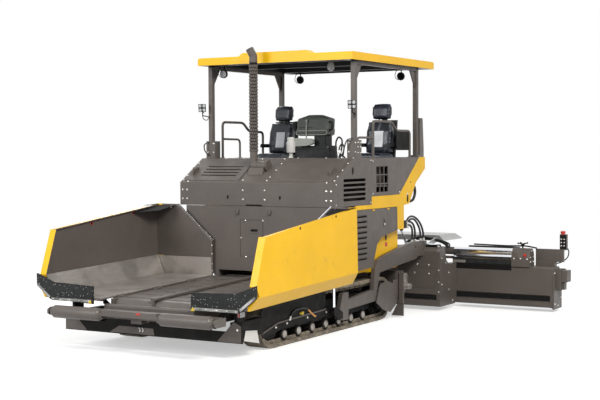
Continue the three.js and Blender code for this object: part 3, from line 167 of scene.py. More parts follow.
def add_floor():
    """Keeps the shadow near the machine, turns plain white further out, and reflects less than it shows."""
    material = bpy.data.materials.new("floor")
    tree = empty_tree(material)

    def wire(kind, inputs, **facts):
        return add_node(tree, kind, inputs, **facts).outputs[0]

    shadowed = wire("BsdfDiffuse", {"Color": (0.84, 0.84, 0.84, 1)})
    near = wire("AddShader", {0: shadowed, 1: wire("Emission", {"Strength": 0.46})})
    place = add_node(tree, "TexCoord", {}).outputs["Object"]
    away = add_node(tree, "VectorMath", {0: place}, operation="LENGTH").outputs["Value"]
    fade = wire("MapRange", {0: away, 1: SHADOW_RADIUS, 2: WHITE_RADIUS}, interpolation_type="SMOOTHSTEP")
    seen = wire("MixShader", {0: fade, 1: near, 2: wire("Emission", {})})
    unseen = wire("BsdfDiffuse", {"Color": (0.42, 0.41, 0.40, 1)})
    mix = wire("MixShader", {0: seen_directly(tree), 1: unseen, 2: seen})
    add_node(tree, "OutputMaterial", {0: mix})
    mesh = bpy.data.meshes.new("floor")
    corners = [(x * FLOOR_HALF, y * FLOOR_HALF, 0) for x, y in ((-1, -1), (1, -1), (1, 1), (-1, 1))]
    mesh.from_pydata(corners, [], [(0, 1, 2, 3)])
    mesh.materials.append(material)
    floor = link("floor", mesh)
    floor.location.z = -FLOOR_DROP


bpy.context.scene.view_settings.view_transform = "Standard"
add_camera()
add_world()
add_lamp("key", (13, -9, 12), (0, 0, 1), 2300, 5, (1.0, 0.97, 0.92))
add_lamp("front", (-7, -15, 7), (0, -1, 1.2), 1000, 6)
add_lamp("back", (-9, 11, 8), (0, 1, 1.5), 600, 7)
add_floor()


# ------------------------------------------------------------------ materials
M = {}


class Shader:
    """A Principled material whose colour, roughness and bump are built up from nodes."""

    def __init__(self, name, rough, metal=0.0, coat=0.0, gloss=0.5):
        M[name] = bpy.data.materials.new(name)
        M[name].use_nodes = True
        self.tree = M[name].node_tree
        self.shader = self.tree.nodes["Principled BSDF"]
        facts = {"Metallic": metal, "Roughness": rough, "Coat Weight": coat, "Specular IOR Level": gloss}
        for socket, value in facts.items():
            self.shader.inputs[socket].default_value = value
        self.coords = self.tree.nodes.new("ShaderNodeTexCoord")

    def node(self, kind, inputs, **facts):
        return add_node(self.tree, kind, inputs, **facts)

    def noise(self, scale, detail=3, stretch=(1, 1, 1)):
        place = self.coords.outputs["Object"]
        if stretch != (1, 1, 1):
            place = self.node("Mapping", {"Vector": place, "Scale": stretch}).outputs[0]
        return self.node("TexNoise", {"Vector": place, "Scale": scale, "Detail": detail}).outputs["Fac"]

    def range(self, value, low, high, to_low=0.0, to_high=1.0):
        inputs = {0: value, 1: low, 2: high, 3: to_low, 4: to_high}
        return self.node("MapRange", inputs).outputs[0]

    def mix(self, share, first, second):
        first, second = ((*v, 1) if isinstance(v, tuple) else v for v in (first, second))
        return self.node("Mix", {0: share, 6: first, 7: second}, data_type="RGBA").outputs[2]

    def mottle(self, scale, detail, low, high, first, second):
        """Two colours blended by noise between the two levels."""
        return self.mix(self.range(self.noise(scale, detail), low, high), first, second)

    def dot(self, first, second):
        return self.node("VectorMath", {0: first, 1: second}, operation="DOT_PRODUCT").outputs["Value"]

    def math(self, operation, first, second):
        return self.node("Math", {0: first, 1: second}, operation=operation, use_clamp=True).outputs[0]

    def edges(self, radius):
        """0 on flat faces, rising to 1 along outside edges."""
        soft = self.node("Bevel", {"Radius": radius}, samples=4).outputs[0]
        true = self.node("NewGeometry", {}).outputs["True Normal"]
        return self.range(self.dot(soft, true), 0.995, 0.8)

    def facing(self, axis):
        """How much the surface faces along an axis of the object."""
        return self.dot(self.coords.outputs["Normal"], axis)

    def set(self, name, value):
        self.tree.links.new(value, self.shader.inputs[name])

    def relief(self, height, strength, distance, round_edges=0.004):
        inputs = {"Height": height, "Strength": strength, "Distance": distance}
        if round_edges:
            inputs["Normal"] = self.node("Bevel", {"Radius": round_edges}, samples=4).outputs[0]
        self.set("Normal", self.node("Bump", inputs).outputs[0])


def shade(colour, factor):
    return tuple(min(1.0, channel * factor) for channel in colour)


def paint(name, colour, rough=0.45, coat=0.05, dust=0.15, dust_colour=(0.30, 0.27, 0.23), edge=0.25,
          round_edges=0.005, gloss=0.4):
    """Clouded paint with dust on what faces up, and worn edges."""
    s = Shader(name, rough, coat=coat, gloss=gloss)
    base = s.mottle(1.7, 4, 0.3, 0.7, shade(colour, 0.90), shade(colour, 1.08))
    base = s.mix(s.range(s.noise(38, 2), 0.35, 0.65, 0.0, 0.25), base, shade(colour, 0.82))
    upward = s.range(s.facing(Z), 0.2, 1.0, 0.25, 1.0)
    dusty = s.math("MULTIPLY", s.range(s.noise(5.5, 6), 0.45, 0.8, 0.0, dust), upward)
    base = s.mix(dusty, base, dust_colour)
    base = s.mix(s.math("MULTIPLY", s.edges(0.006), edge), base, shade(colour, 1.7))
    s.set("Base Color", base)
    s.set("Roughness", s.range(s.noise(9, 4), 0.3, 0.7, rough - 0.07, rough + 0.1))
    s.relief(s.noise(420, 2), 0.12, 0.001, round_edges)


def metal(name, colour, rough, metallic=1.0, scratch=0.3, stretch=(1, 40, 40), wear_colour=None):
    """Bare metal with drawn scratches, and patches of wear where a wear colour is given."""
    s = Shader(name, rough, metallic)
    lines = s.noise(6, 5, stretch)
    base = s.mix(s.range(lines, 0.3, 0.7), shade(colour, 1 - scratch * 0.5), shade(colour, 1 + scratch * 0.3))
    if wear_colour:
        base = s.mottle(3.0, 7, 0.45, 0.62, base, wear_colour)
    s.set("Base Color", base)
    s.set("Roughness", s.range(lines, 0.2, 0.8, max(0.04, rough - 0.08), rough + 0.12))
    s.relief(s.noise(300, 3), 0.10, 0.001)


def rubber(name, colour, rough=0.75, specks=0.0, coat=0.0):
    """Dull rubber or plastic, with light specks where asked for."""
    s = Shader(name, rough, coat=coat, gloss=0.25)
    base = s.mottle(14, 5, 0.35, 0.7, shade(colour, 0.8), shade(colour, 1.5))
    if specks:
        cells = s.node("TexVoronoi", {"Vector": s.coords.outputs["Object"], "Scale": 42.0})
        dots = s.range(cells.outputs["Distance"], 0.24, 0.15)
        pick = s.node("SeparateColor", {0: cells.outputs["Color"]}).outputs[0]
        some = s.range(pick, 0.60, 0.62, 0.0, specks)
        base = s.mix(s.math("MULTIPLY", dots, some), base, (0.62, 0.62, 0.62))
    s.set("Base Color", base)
    s.relief(s.noise(260, 3), 0.25, 0.001, 0.003)


GREY = (0.112, 0.095, 0.085)
YELLOW = (0.93, 0.53, 0.006)
paint("grey_paint", GREY)
paint("yellow_paint", YELLOW, 0.36, 0.04, 0.03, (0.7, 0.45, 0.1), 0.10, gloss=0.25)
# Black paint for the truly black parts; also laid as painted shadow on the front skirt, over the track noses under
# the wing fronts, and across the extensions' front faces under the guide tubes.
paint("black_paint", (0.008, 0.0075, 0.007), 0.6, 0.0, 0.12, (0.05, 0.045, 0.04), gloss=0.15)
metal("worn_steel", (0.45, 0.415, 0.385), 0.38, 0.5, 0.35, (1, 30, 1), (0.33, 0.30, 0.27))
metal("bright_steel", (0.46, 0.43, 0.40), 0.34, 0.6, 0.3, (30, 1, 1), (0.33, 0.31, 0.28))
metal("chrome_rod", (0.80, 0.82, 0.86), 0.10, 1.0, 0.12, (40, 1, 1))
metal("zinc", (0.75, 0.73, 0.68), 0.28, 0.8, 0.2, (10, 10, 10))
metal("clamp_strip", (0.50, 0.50, 0.49), 0.4, 0.5, 0.5, (25, 1, 25), (0.14, 0.14, 0.13))
rubber("black_rubber", (0.014, 0.014, 0.015))
rubber("flap_rubber", (0.014, 0.015, 0.015), 0.6, 0.8)
rubber("hose_rubber", (0.016, 0.016, 0.017), 0.45, 0.0, 0.2)
rubber("black_plastic", (0.020, 0.021, 0.022), 0.5)
# Matte black for dark fittings; also laid as painted shade behind the door louvres, at the back of the screed and
# extension front recesses, and on the rear roof lamps' faces.
rubber("matte_black_and_painted_shade", (0.006, 0.006, 0.006), 0.9)
paint("white_plastic", (0.72, 0.71, 0.68), 0.4, 0.1, 0.1, (0.5, 0.48, 0.42), 0.0)
paint("paper", (0.80, 0.81, 0.84), 0.6, 0.0, 0.05, (0.6, 0.6, 0.6), 0.0, 0)
paint("red_plastic", (0.62, 0.035, 0.025), 0.35, 0.3, 0.05, (0.4, 0.1, 0.08), 0.0)
paint("yellow_clip", (0.85, 0.60, 0.03), 0.4, 0.2, 0.1, (0.4, 0.3, 0.1), 0.0)
metal("copper", (0.75, 0.38, 0.12), 0.35, 0.7)
paint("label_yellow", (0.95, 0.80, 0.10), 0.5, 0.0, 0.05, (0.7, 0.6, 0.2), 0.0, 0)
paint("grey_plastic", (0.085, 0.092, 0.082), 0.5, 0.05, 0.2, (0.2, 0.2, 0.18), 0.3)
paint("light_plastic", (0.36, 0.38, 0.34), 0.5, 0.1, 0.15, (0.4, 0.39, 0.36), 0.1)
metal("engine_mass", (0.25, 0.25, 0.25), 0.6, 0.4)


def track_steel():
    s = Shader("track_steel", 0.7, 0.25)
    base = s.mottle(9, 8, 0.4, 0.65, (0.15, 0.125, 0.095), (0.31, 0.265, 0.20))
    base = s.mix(s.math("MULTIPLY", s.edges(0.008), 0.7), base, (0.50, 0.44, 0.35))
    s.set("Base Color", base)
    s.relief(s.noise(60, 6), 0.5, 0.003, 0.005)


def roof_panel():
    """Glossy yellow above and outside, black underneath and inside the rim."""
    s = Shader("roof_panel", 0.36, coat=0.04, gloss=0.25)
    base = s.mottle(1.3, 3, 0.3, 0.7, shade(YELLOW, 0.96), shade(YELLOW, 1.05))
    middle = tuple(at(0, 1835, 0))
    arm = s.node("VectorMath", {0: s.coords.outputs["Object"], 1: middle}, operation="SUBTRACT").outputs[0]
    flat = s.node("VectorMath", {0: arm, 1: (1, 1, 0)}, operation="MULTIPLY").outputs[0]
    outward = s.range(s.dot(flat, s.coords.outputs["Normal"]), 1.20, 1.24)
    outside = s.math("MAXIMUM", outward, s.range(s.facing(Z), 0.10, 0.15))
    s.set("Base Color", s.mix(outside, (0.02, 0.02, 0.022), base))
    s.relief(s.noise(12, 3), 0.06, 0.004, 0.006)


def wing_paint(side, sign):
    """Yellow on the outer wall and on the front and top rims, grey inside."""
    s = Shader(f"wing_paint_{side}", 0.36, coat=0.04, gloss=0.25)
    yellow = s.mottle(1.7, 4, 0.3, 0.7, shade(YELLOW, 0.95), shade(YELLOW, 1.05))
    yellow = s.mix(s.range(s.noise(7, 7), 0.60, 0.75, 0.0, 0.3), yellow, (0.62, 0.36, 0.05))
    grey = s.mottle(2.1, 5, 0.3, 0.7, shade(GREY, 1.1), shade(GREY, 1.6))
    across = s.node("SeparateXYZ", {0: s.coords.outputs["Object"]}).outputs[0]
    half_width = s.math("MULTIPLY", s.node("Math", {0: across, 1: sign}, operation="MULTIPLY").outputs[0], 0.5)
    mask = s.range(s.facing(X * sign), 0.25, 0.35)
    for axis, turned, beyond in ((Z, 0.6, 0.782), (-Y, 0.4, 0.755), (-Z, 0.2, 0.752)):
        faces = s.range(s.facing(axis), turned, turned + 0.1)
        rim = s.math("MULTIPLY", faces, s.range(half_width, beyond, beyond + 0.002))
        mask = s.math("MAXIMUM", mask, rim)
    s.set("Base Color", s.mix(mask, grey, yellow))
    s.set("Roughness", s.range(s.noise(9, 4), 0.3, 0.7, 0.28, 0.42))
    s.relief(s.noise(420, 2), 0.12, 0.001, 0.005)


def deck_plate():
    """Light anti-slip plate with a lozenge tread."""
    s = Shader("deck_plate", 0.42, 0.5)
    s.set("Base Color", s.mottle(4, 6, 0.35, 0.7, (0.40, 0.40, 0.40), (0.55, 0.55, 0.54)))
    diagonal = {"Vector": s.coords.outputs["Object"], "Rotation": (0, 0, math.pi / 4)}
    turned = s.node("Mapping", diagonal).outputs[0]
    first = s.node("TexWave", {"Vector": turned, "Scale": 9.0}).outputs["Fac"]
    second = s.node("TexWave", {"Vector": turned, "Scale": 9.0}, bands_direction="Y").outputs["Fac"]
    studs = s.range(s.math("MULTIPLY", first, second), 0.55, 0.7)
    s.relief(studs, 0.6, 0.002)


def vinyl():
    """Dark blue-black seat cover under clear wrap: crinkled, with broad soft highlights, and light streaks painted
    into its colour as highlights on the wrap.
    """
    s = Shader("cushion", 0.5, coat=0.35, gloss=0.3)
    base = s.mottle(3.5, 4, 0.35, 0.7, (0.008, 0.010, 0.016), (0.022, 0.028, 0.045))
    # Light grey streaks mixed into the base colour: painted highlights of the clear wrap.
    painted_film_highlight = s.range(s.noise(11, 4, (1, 1, 0.35)), 0.60, 0.70, 0.0, 0.22)
    s.set("Base Color", s.mix(painted_film_highlight, base, (0.45, 0.47, 0.50)))
    s.shader.inputs["Coat Roughness"].default_value = 0.12
    s.relief(s.noise(13, 5, (1, 1, 0.4)), 0.55, 0.012, 0)


def glass(name, colour):
    s = Shader(name, 0.08, coat=0.6)
    cells = s.node("TexVoronoi", {"Vector": s.coords.outputs["Object"], "Scale": 55.0}).outputs["Distance"]
    s.set("Base Color", s.mix(s.range(cells, 0.1, 0.5), colour, shade(colour, 0.55)))
    s.relief(cells, 0.4, 0.002, 0)


track_steel()
roof_panel()
deck_plate()
for side, sign in SIDES:
    wing_paint(side, sign)
vinyl()
glass("lens", (0.80, 0.82, 0.85))


# ------------------------------------------------------------------ shapes
def loft(part, rings, closed=False):
    """Skins rings of vertices in order, and caps both ends unless it closes on itself."""
    sides = len(rings[0])
    pairs = list(zip(rings, rings[1:]))
    if closed:
        pairs.append((rings[-1], rings[0]))
    for low, high in pairs:
        for i in range(sides):
            part.faces.new((low[i], low[(i + 1) % sides], high[(i + 1) % sides], high[i]))
    if not closed:
        part.faces.new(rings[0][::-1])
        part.faces.new(rings[-1])
    bmesh.ops.recalc_face_normals(part, faces=part.faces)


def turned(first, second, angle):
    """The direction at an angle from the first axis towards the second."""
    return first * math.cos(angle) + second * math.sin(angle)


def circle(centre, radius, first, second, count, rise=None):
    """Points round a circle, or an oval where rise differs from radius, in the plane of two axes."""
    rise = radius if rise is None else rise
    return [centre + turned(first * radius, second * rise, math.tau * i / count) for i in range(count)]


class Kit:
    """Gathers many small solids into one mesh.
    """

    def __init__(self, first="grey_paint", sign=1):
        self.mesh = bmesh.new()
        self.names = [first]
        self.slot = 0
        self.sign = sign

    def at(self, place):
        if isinstance(place, Vector):
            return place
        x, y, z = place
        return at(x * self.sign, y, z)

    def use(self, name):
        if name not in self.names:
            self.names.append(name)
        self.slot = self.names.index(name)
        return self

    def merge(self, part):
        fresh = {v: self.mesh.verts.new(v.co) for v in part.verts}
        for face in part.faces:
            made = self.mesh.faces.new([fresh[v] for v in face.verts])
            made.material_index = self.slot
            made.smooth = True
        part.free()

    def solid(self, points, faces, bevel=0.0):
        part = bmesh.new()
        verts = [part.verts.new(self.at(p)) for p in points]
        for face in faces:
            part.faces.new([verts[i] for i in face])
        bmesh.ops.recalc_face_normals(part, faces=part.faces)
        if bevel:
            bmesh.ops.bevel(
                part, geom=part.edges[:], offset=bevel, segments=2, affect="EDGES", clamp_overlap=True)
        self.merge(part)

    def hexa(self, corners, bevel=0.0):
        """Eight corners: the lower four in order, then the upper four above them."""
        faces = [(0, 1, 2, 3), (4, 5, 6, 7), (0, 1, 5, 4), (1, 2, 6, 5), (2, 3, 7, 6), (3, 0, 4, 7)]
        self.solid(corners, faces, bevel)

    def box(self, x0, x1, y0, y1, z0, z1, bevel=1.5):
        flat = [(x0, y0), (x1, y0), (x1, y1), (x0, y1)]
        self.hexa([(x, y, z) for z in (z0, z1) for x, y in flat], bevel / 1000)

    def plate(self, outline, toward, depth, bevel=0.0):
        """A flat outline of points, thickened by depth along the direction toward."""
        points = [self.at(p) for p in outline]
        points += [p + toward.normalized() * depth for p in points]
        n = len(outline)
        faces = [tuple(range(n)), tuple(range(n, 2 * n))]
        faces += [(i, (i + 1) % n, n + (i + 1) % n, n + i) for i in range(n)]
        self.solid(points, faces, bevel)

    def side_plate(self, x, outline, depth, bevel=0.0):
        """A plate standing off a side face: the outline is (y, z) in millimetres."""
        self.plate([(x, y, z) for y, z in outline], X * self.sign, depth, bevel)

    def label(self, x, y0, y1, z0, z1, depth=0.0012):
        self.side_plate(x, [(y0, z0), (y1, z0), (y1, z1), (y0, z1)], depth)

    def oval(self, place, half, rise, depth, bevel=0.001):
        """A flat oval boss standing off a side face."""
        self.plate(circle(self.at(place), half, Y, Z, 20, rise), X * self.sign, depth, bevel)

    def sweep(self, points, radii, sides=16, closed=False):
        """A tube through the points, with one radius or a radius at each."""
        points = [self.at(p) for p in points]
        count = len(points)
        radii = [radii] * count if isinstance(radii, (int, float)) else radii
        part = bmesh.new()
        rings, normal = [], None
        for i, centre in enumerate(points):
            ahead = points[(i + 1) % count] if closed else points[min(i + 1, count - 1)]
            behind = points[i - 1] if closed else points[max(i - 1, 0)]
            along = (ahead - behind).normalized()
            if normal is None:
                normal = along.cross(Z if abs(along.z) < 0.9 else X).normalized()
            normal = (normal - along * normal.dot(along)).normalized()
            ring = circle(centre, radii[i], normal, along.cross(normal), sides)
            rings.append([part.verts.new(p) for p in ring])
        loft(part, rings, closed)
        self.merge(part)

    def rod(self, start, end, radius, sides=20):
        """A round bar with its two rims eased."""
        start, end = self.at(start), self.at(end)
        along = (end - start).normalized()
        soft = min(0.002, radius * 0.4)
        points = [start, start + along * soft, end - along * soft, end]
        self.sweep(points, [radius - soft, radius, radius, radius - soft], sides)

    def profile(self, start, along, steps, sides=24):
        """A turned form: steps are (distance along, radius)."""
        start, along = self.at(start), along.normalized()
        self.sweep([start + along * d for d, _ in steps], [r for _, r in steps], sides)

    def bolt(self, place, normal, radius=0.011):
        """A washer with a domed hexagon head."""
        place, normal = self.at(place), normal.normalized()
        self.profile(place - normal * 0.002, normal, [(0, radius * 1.25), (0.0035, radius * 1.25)], 10)
        self.profile(place, normal, [(0, radius), (0.007, radius), (0.0095, radius * 0.7)], 6)

    def bolts(self, places, normal, radius=0.011):
        self.use("zinc")
        for place in places:
            self.bolt(place, normal, radius)

    def hose(self, points, radius, sides=10):
        """A hose on a smooth curve through the points."""
        self.sweep(smooth([self.at(p) for p in points]), radius, sides)

    def object(self, name):
        data = bpy.data.meshes.new(name)
        self.mesh.to_mesh(data)
        self.mesh.free()
        for key in self.names:
            data.materials.append(M[key])
        data.set_sharp_from_angle(angle=math.radians(35))
        return link(name, data)

    def make(self, name, body, slot):
        piece = self.object(name)
        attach(piece, body)
        return piece


def smooth(points, per=8):
    """Catmull-Rom curve through the points."""
    p = [points[0] * 2 - points[1], *points, points[-1] * 2 - points[-2]]
    curve = []
    for i in range(1, len(p) - 2):
        for k in range(per):
            t = k / per
            curve.append(0.5 * (
                2 * p[i]
                + (p[i + 1] - p[i - 1]) * t
                + (2 * p[i - 1] - 5 * p[i] + 4 * p[i + 1] - p[i + 2]) * t * t
                + (3 * p[i] - p[i - 1] - 3 * p[i + 1] + p[i + 2]) * t ** 3
            ))
    return [*curve, p[-2]]


# ------------------------------------------------------------------ finishes of the frame's own pieces
FINISH = {
    "grey_paint": (
        "main_frame", "hopper_lip", "conveyor", "engine_hood", "side_panel", "operator_platform", "handrail",
        "canopy_frame", "auger_support", "push_beam", "hood_lid", "side_door", "screed_extension", "tow_arm",
        "screed_main"),
    # front_skirt is given black paint as painted shadow of the push rollers over its grey-brown plate; its lit
    # patches are grey plates in front_trim.
    "black_paint": (
        "front_skirt", "track_frame", "levelling_cylinder", "wing_cylinder_barrel", "lift_cylinder_barrel"),
    "black_plastic": ("seat_frame", "control_console"), "chrome_rod": ("wing_cylinder_rod", "lift_cylinder_rod"),
    "yellow_paint": ("side_body",), "roof_panel": ("canopy_roof",), "engine_mass": ("engine_block",),
    "track_steel": ("track",), "flap_rubber": ("wing_flap",), "worn_steel": ("auger",),
    "deck_plate": ("screed_deck",), "wing_paint_left": ("hopper_wing_left",),
    "wing_paint_right": ("hopper_wing_right",),
}
FINISH_OF = {kind: finish for finish, kinds in FINISH.items() for kind in kinds}

for node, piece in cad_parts.items():
    finish = FINISH_OF.get(node) or FINISH_OF.get(node.removesuffix("_left").removesuffix("_right"))
    if finish:
        piece.data.materials.clear()
        piece.data.materials.append(M[finish])


# ------------------------------------------------------------------ hood and front wall
def hood_trim():
    k = Kit("zinc")
    for x in (-1205, -1130, -192, 165, 1130, 1205):
        for z in (1906, 1778):
            k.bolt((x, 0, z), -Y)
    for x, y in ((-150, 1488), (135, 1488), (-226, 1245), (-145, 985)):
        k.bolt((x, -1, y), -Y, 0.009)
    slope_bolts = [
        (-1225, 440), (-1225, 300), (-1225, 150), (-1225, 60), (-1130, 20), (-225, 60), (-205, 548),
        (180, 435), (180, 285), (175, 135), (170, 55), (165, 545), (1225, 445), (1225, 290), (1225, 150),
        (1225, 60), (1130, 20),
    ]
    for x, y in slope_bolts:
        k.bolt(on_slope(x, y), SLOPE_UP)
    for x in (-1225, -700, 350, 800, 1225):
        k.bolt((x, 600, HOOD_TOP), Z)
    k.use("matte_black_and_painted_shade")
    for x in (-440, 410):
        k.rod((x, 0, 1815), (x, -4, 1815), 0.017, 16)
        k.box(x - 7, x + 7, -4, 0, 1782, 1812, 0.5)
    k.box(-140, 120, -1.5, 2, 1692, 1712, 0)
    k.box(-62, 48, -1.5, 2, 1335, 1370, 0)
    k.use("grey_paint")
    k.box(-66, 52, -6, 1, 1316, 1336, 1.5)
    for x in (-275, 245):
        k.box(x - 24, x + 24, -16, 1, 1600, 1640, 3)
        k.rod((x, -12, 1572), (x, -12, 1612), 0.017, 14)
        k.use("matte_black_and_painted_shade")
        k.rod((x, -13, 1568), (x, -13, 1574), 0.012, 12)
        k.use("grey_paint")
    k.make("hood_trim", "chassis", "grey_paint")


hood_trim()


def exhaust():
    """The heat-shielded stack with its ribbed duct and slash-cut tip."""
    k = Kit("grey_paint")
    x, y = -195, 300
    duct_z = 2240
    radii, rings = [], []
    for i in range(30):
        along = -205 + i * 8.2
        rings.append((along, y, duct_z))
        radii.append(0.067 if i % 4 < 2 else 0.0625)
    k.sweep(rings, radii, 28)
    k.profile((30, y, duct_z), X, [(0, 0.080), (0.003, 0.082), (0.015, 0.082), (0.018, 0.079)], 32)
    k.profile((47.5, y, duct_z), X, [(0, 0.058), (0.0006, 0.058)], 28)
    elbow = [(-150, y, duct_z), (-178, y, duct_z), (x, y, duct_z + 25), (x, y, duct_z + 70), (x, y, 2450)]
    k.hose(elbow, 0.0545, 24)
    k.profile((x, y, 2440), Z, [(0, 0.057), (0.002, 0.0625), (0.012, 0.0625), (0.014, 0.057)], 32)
    k.profile((x, y, 3686), Z, [(0, 0.057), (0.002, 0.0625), (0.012, 0.0625), (0.014, 0.057)], 32)
    k.use("black_paint").rod((x, y, 2442), (x, y, 3698), 0.0545, 32)
    k.use("grey_paint")
    rows = 26
    for row in range(rows):
        z = 2462 + row * 1220 / rows
        for turn in range(12):
            angle = math.tau * (turn + 0.5 * (row % 2)) / 12
            out = Vector((math.cos(angle), math.sin(angle), 0))
            side = Vector((-math.sin(angle), math.cos(angle), 0))
            centre = at(x, y, z) + out * 0.0535
            corners = []
            for lift in (0.0, 0.009):
                for a, b in ((-1, -1), (1, -1), (1, 1), (-1, 1)):
                    shrink = 1 if lift == 0 else 0.7
                    corners.append(centre + out * lift + side * a * 0.013 * shrink + Z * b * 0.020 * shrink)
            k.hexa(corners)
    tip = [at(x, y, 3690), at(x, y, 3740), at(x, y, 3775), at(x - 12, y - 15, 3815), at(x - 36, y - 45, 3868)]
    k.sweep(smooth(tip[:-1], 6), 0.056, 24)
    lean = Vector((-0.30, -0.38, 0.87)).normalized()
    mouth = at(x - 12, y - 15, 3812)
    k.profile(mouth, lean, [(-0.02, 0.056), (0.078, 0.056), (0.080, 0.053)], 24)
    k.use("matte_black_and_painted_shade").profile(mouth + lean * 0.0802, lean, [(0, 0.049), (0.0006, 0.049)], 24)
    k.use("grey_paint")
    k.hexa([
        on_slope(-232, 170, 1), on_slope(18, 170, 1), on_slope(18, 368, 1), on_slope(-232, 368, 1),
        (-225, 215, 2212), (12, 215, 2212), (12, 362, 2240), (-225, 362, 2240),
    ], 0.004)
    stack = k.make("exhaust_stack", "chassis", "black_paint")
    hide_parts("exhaust_pipe")


exhaust()


# ------------------------------------------------------------------ body sides
def side_trim(side, sign):
    out = X * sign
    k = Kit("matte_black_and_painted_shade", sign)
    k.oval((BODY_FACE, 535, 2170), 0.022, 0.052, 0.004)
    k.oval((BODY_FACE, 2275, 1735), 0.022, 0.06, 0.005)
    k.oval((BODY_FACE, 2385, 1975), 0.012, 0.012, 0.003)
    k.use("white_plastic")
    k.label(BODY_FACE, 2250, 2300, 1745, 1815)
    k.use("zinc")
    for y, z in ((60, 1720), (1070, 1720), (60, 1990), (1070, 2310), (1140, 1840), (1140, 2300), (2000, 1840)):
        k.bolt((BODY_FACE, y, z), out, 0.008)
    for y in (700, 1500, 2100):
        k.bolt((RECESS_FACE, y, 760), out, 0.008)
    k.use("grey_paint")
    for row in range(5):
        z = 1784 + row * 65.4
        k.box(BODY_FACE - 12, BODY_FACE, 272, 916, z + 17, z + 22, 0.5)
    k.use("black_plastic")
    k.oval((RECESS_FACE + 0.2, 1755, 1205), 0.026, 0.068, 0.008, 0.002)
    k.use("red_plastic")
    k.label(RECESS_FACE, 1728, 1805, 1052, 1112, 0.0015)
    k.make(f"side_trim_{side}", "chassis", "grey_paint")

    k = Kit("grey_paint", sign)
    k.oval((BODY_FACE, 1500, 1422), 0.034, 0.070, 0.006, 0.002)
    k.use("zinc").rod((BODY_FACE, 1500, 1395), (BODY_FACE + 12, 1500, 1395), 0.014, 14)
    k.use("matte_black_and_painted_shade").box(BODY_FACE, BODY_FACE + 10, 1492, 1508, 1420, 1462, 2)
    k.use("label_yellow")
    k.label(BODY_FACE, 552, 606, 830, 1010)
    k.bolts([(BODY_FACE + 1, 579, z) for z in (855, 985)], out, 0.006)
    k.use("yellow_paint")
    for y in (1160, 1630):
        k.box(BODY_FACE - 8, BODY_FACE + 7, y - 28, y + 28, 1596, 1618, 3)
    # A matte black sheet behind the louvre slats: painted shade in the openings.
    k.use("matte_black_and_painted_shade").box(1226, 1231, 672, 966, 915, 1546, 0)
    k.use("grey_paint")
    for row in range(9):
        z = 925 + row * 74
        slat = ((-15, 664, 30), (-3, 664, 22), (-3, 960, 22), (-15, 960, 30))
        k.hexa([(BODY_FACE + dx, y, z + dz + thick) for thick in (0, 4) for dx, y, dz in slat])
    k.make(f"side_door_trim_{side}", f"side_door_{side}", "grey_paint")


for side, sign in SIDES:
    side_trim(side, sign)


# ------------------------------------------------------------------ hopper wings
def wing_trim(side, sign):
    body = f"hopper_wing_{side}"

    def w(x, y, z):
        return in_wing(x * sign, y, z)

    inward = (in_wing(-sign, 0, 0) - in_wing(0, 0, 0)).normalized()
    wall, foot = 1606, 1499
    k = Kit("grey_paint", sign)
    upper = [(-2490, 280), (-2290, 800), (-62, 962), (-62, 262), (-2486, 262)]
    k.plate([w(wall, y, z) for y, z in upper], inward, 0.003)
    k.use("bright_steel")
    low_out = (w(wall, 0, 262) - w(foot, 0, 6)).normalized()
    ramp_up = low_out.cross(Y) * sign
    if ramp_up.z < 0:
        ramp_up = -ramp_up
    k.plate([w(1500, -2480, 4), w(1500, -62, 4), w(1605, -62, 258), w(1605, -2484, 258)], ramp_up, 0.003)
    k.use("worn_steel")
    k.plate([w(680, -2488, 0.5), w(680, -50, 0.5), w(foot, -50, 0.5), w(foot, -2488, 0.5)], Z, 0.004)
    k.use("bright_steel")
    k.plate([w(690, -46, 5), w(690, -46, 250), w(1604, -46, 250), w(1502, -46, 5)], -Y, 0.004)
    k.use("grey_paint")
    k.plate([w(690, -46, 256), w(690, -46, 480), w(1240, -46, 975), w(1604, -46, 975), w(1604, -46, 256)], -Y, 0.003)
    k.bolts([w(678, -38, z) for z in (60, 160, 300, 420)], inward, 0.009)
    k.use("matte_black_and_painted_shade")
    for y, z in ((-605, 905), (-1515, 835)):
        k.rod(w(1603, y, z), w(1599, y, z), 0.020, 16)
        k.rod(w(1625, y, z + 20), w(1630, y, z + 20), 0.016, 14)
        k.use("red_plastic")
        k.sweep(circle(w(1601, y, z), 0.023, Y, Z, 20), 0.003, 6, closed=True)
        k.use("matte_black_and_painted_shade")
    k.use("matte_black_and_painted_shade")
    k.plate([w(1604, -62, 972), w(1270, -62, 978), w(1330, -360, 925), w(1604, -640, 905)], -Z, 0.004)
    k.hexa([w(x, y, z) for z in (986, 990) for x, y in ((1572, -330), (1622, -330), (1622, -32), (1572, -32))], 0.001)
    k.use("zinc").bolt(w(1330, -90, 955), -Y, 0.016)
    k.use("chrome_rod")
    k.hexa([
        w(672, -34, 486), w(672, -28, 486), w(1247, -28, 994), w(1247, -34, 994),
        w(660, -34, 500), w(660, -28, 500), w(1236, -28, 1006), w(1236, -34, 1006),
    ])
    k.make(f"wing_liner_{side}", body, "worn_steel")

    k = Kit("zinc", sign)
    k.use("clamp_strip")
    low, high = -2592, -2586
    k.box(760, 1400, low, high, 585, 620, 1)
    k.hexa([
        (1432, low, 603), (1640, low, 764), (1640, high, 764), (1432, high, 603),
        (1418, low, 632), (1626, low, 793), (1626, high, 793), (1418, high, 632),
    ], 0.001)
    k.bolts([(x, low, 602) for x in (800, 950, 1100, 1250, 1370)], -Y, 0.006)
    k.use("yellow_clip")
    k.plate([(x, -2594, z) for x, z in ((744, 578), (800, 578), (772, 622))], -Y, 0.006)
    k.make(f"flap_clamp_{side}", body, "black_rubber")


for side, sign in SIDES:
    wing_trim(side, sign)


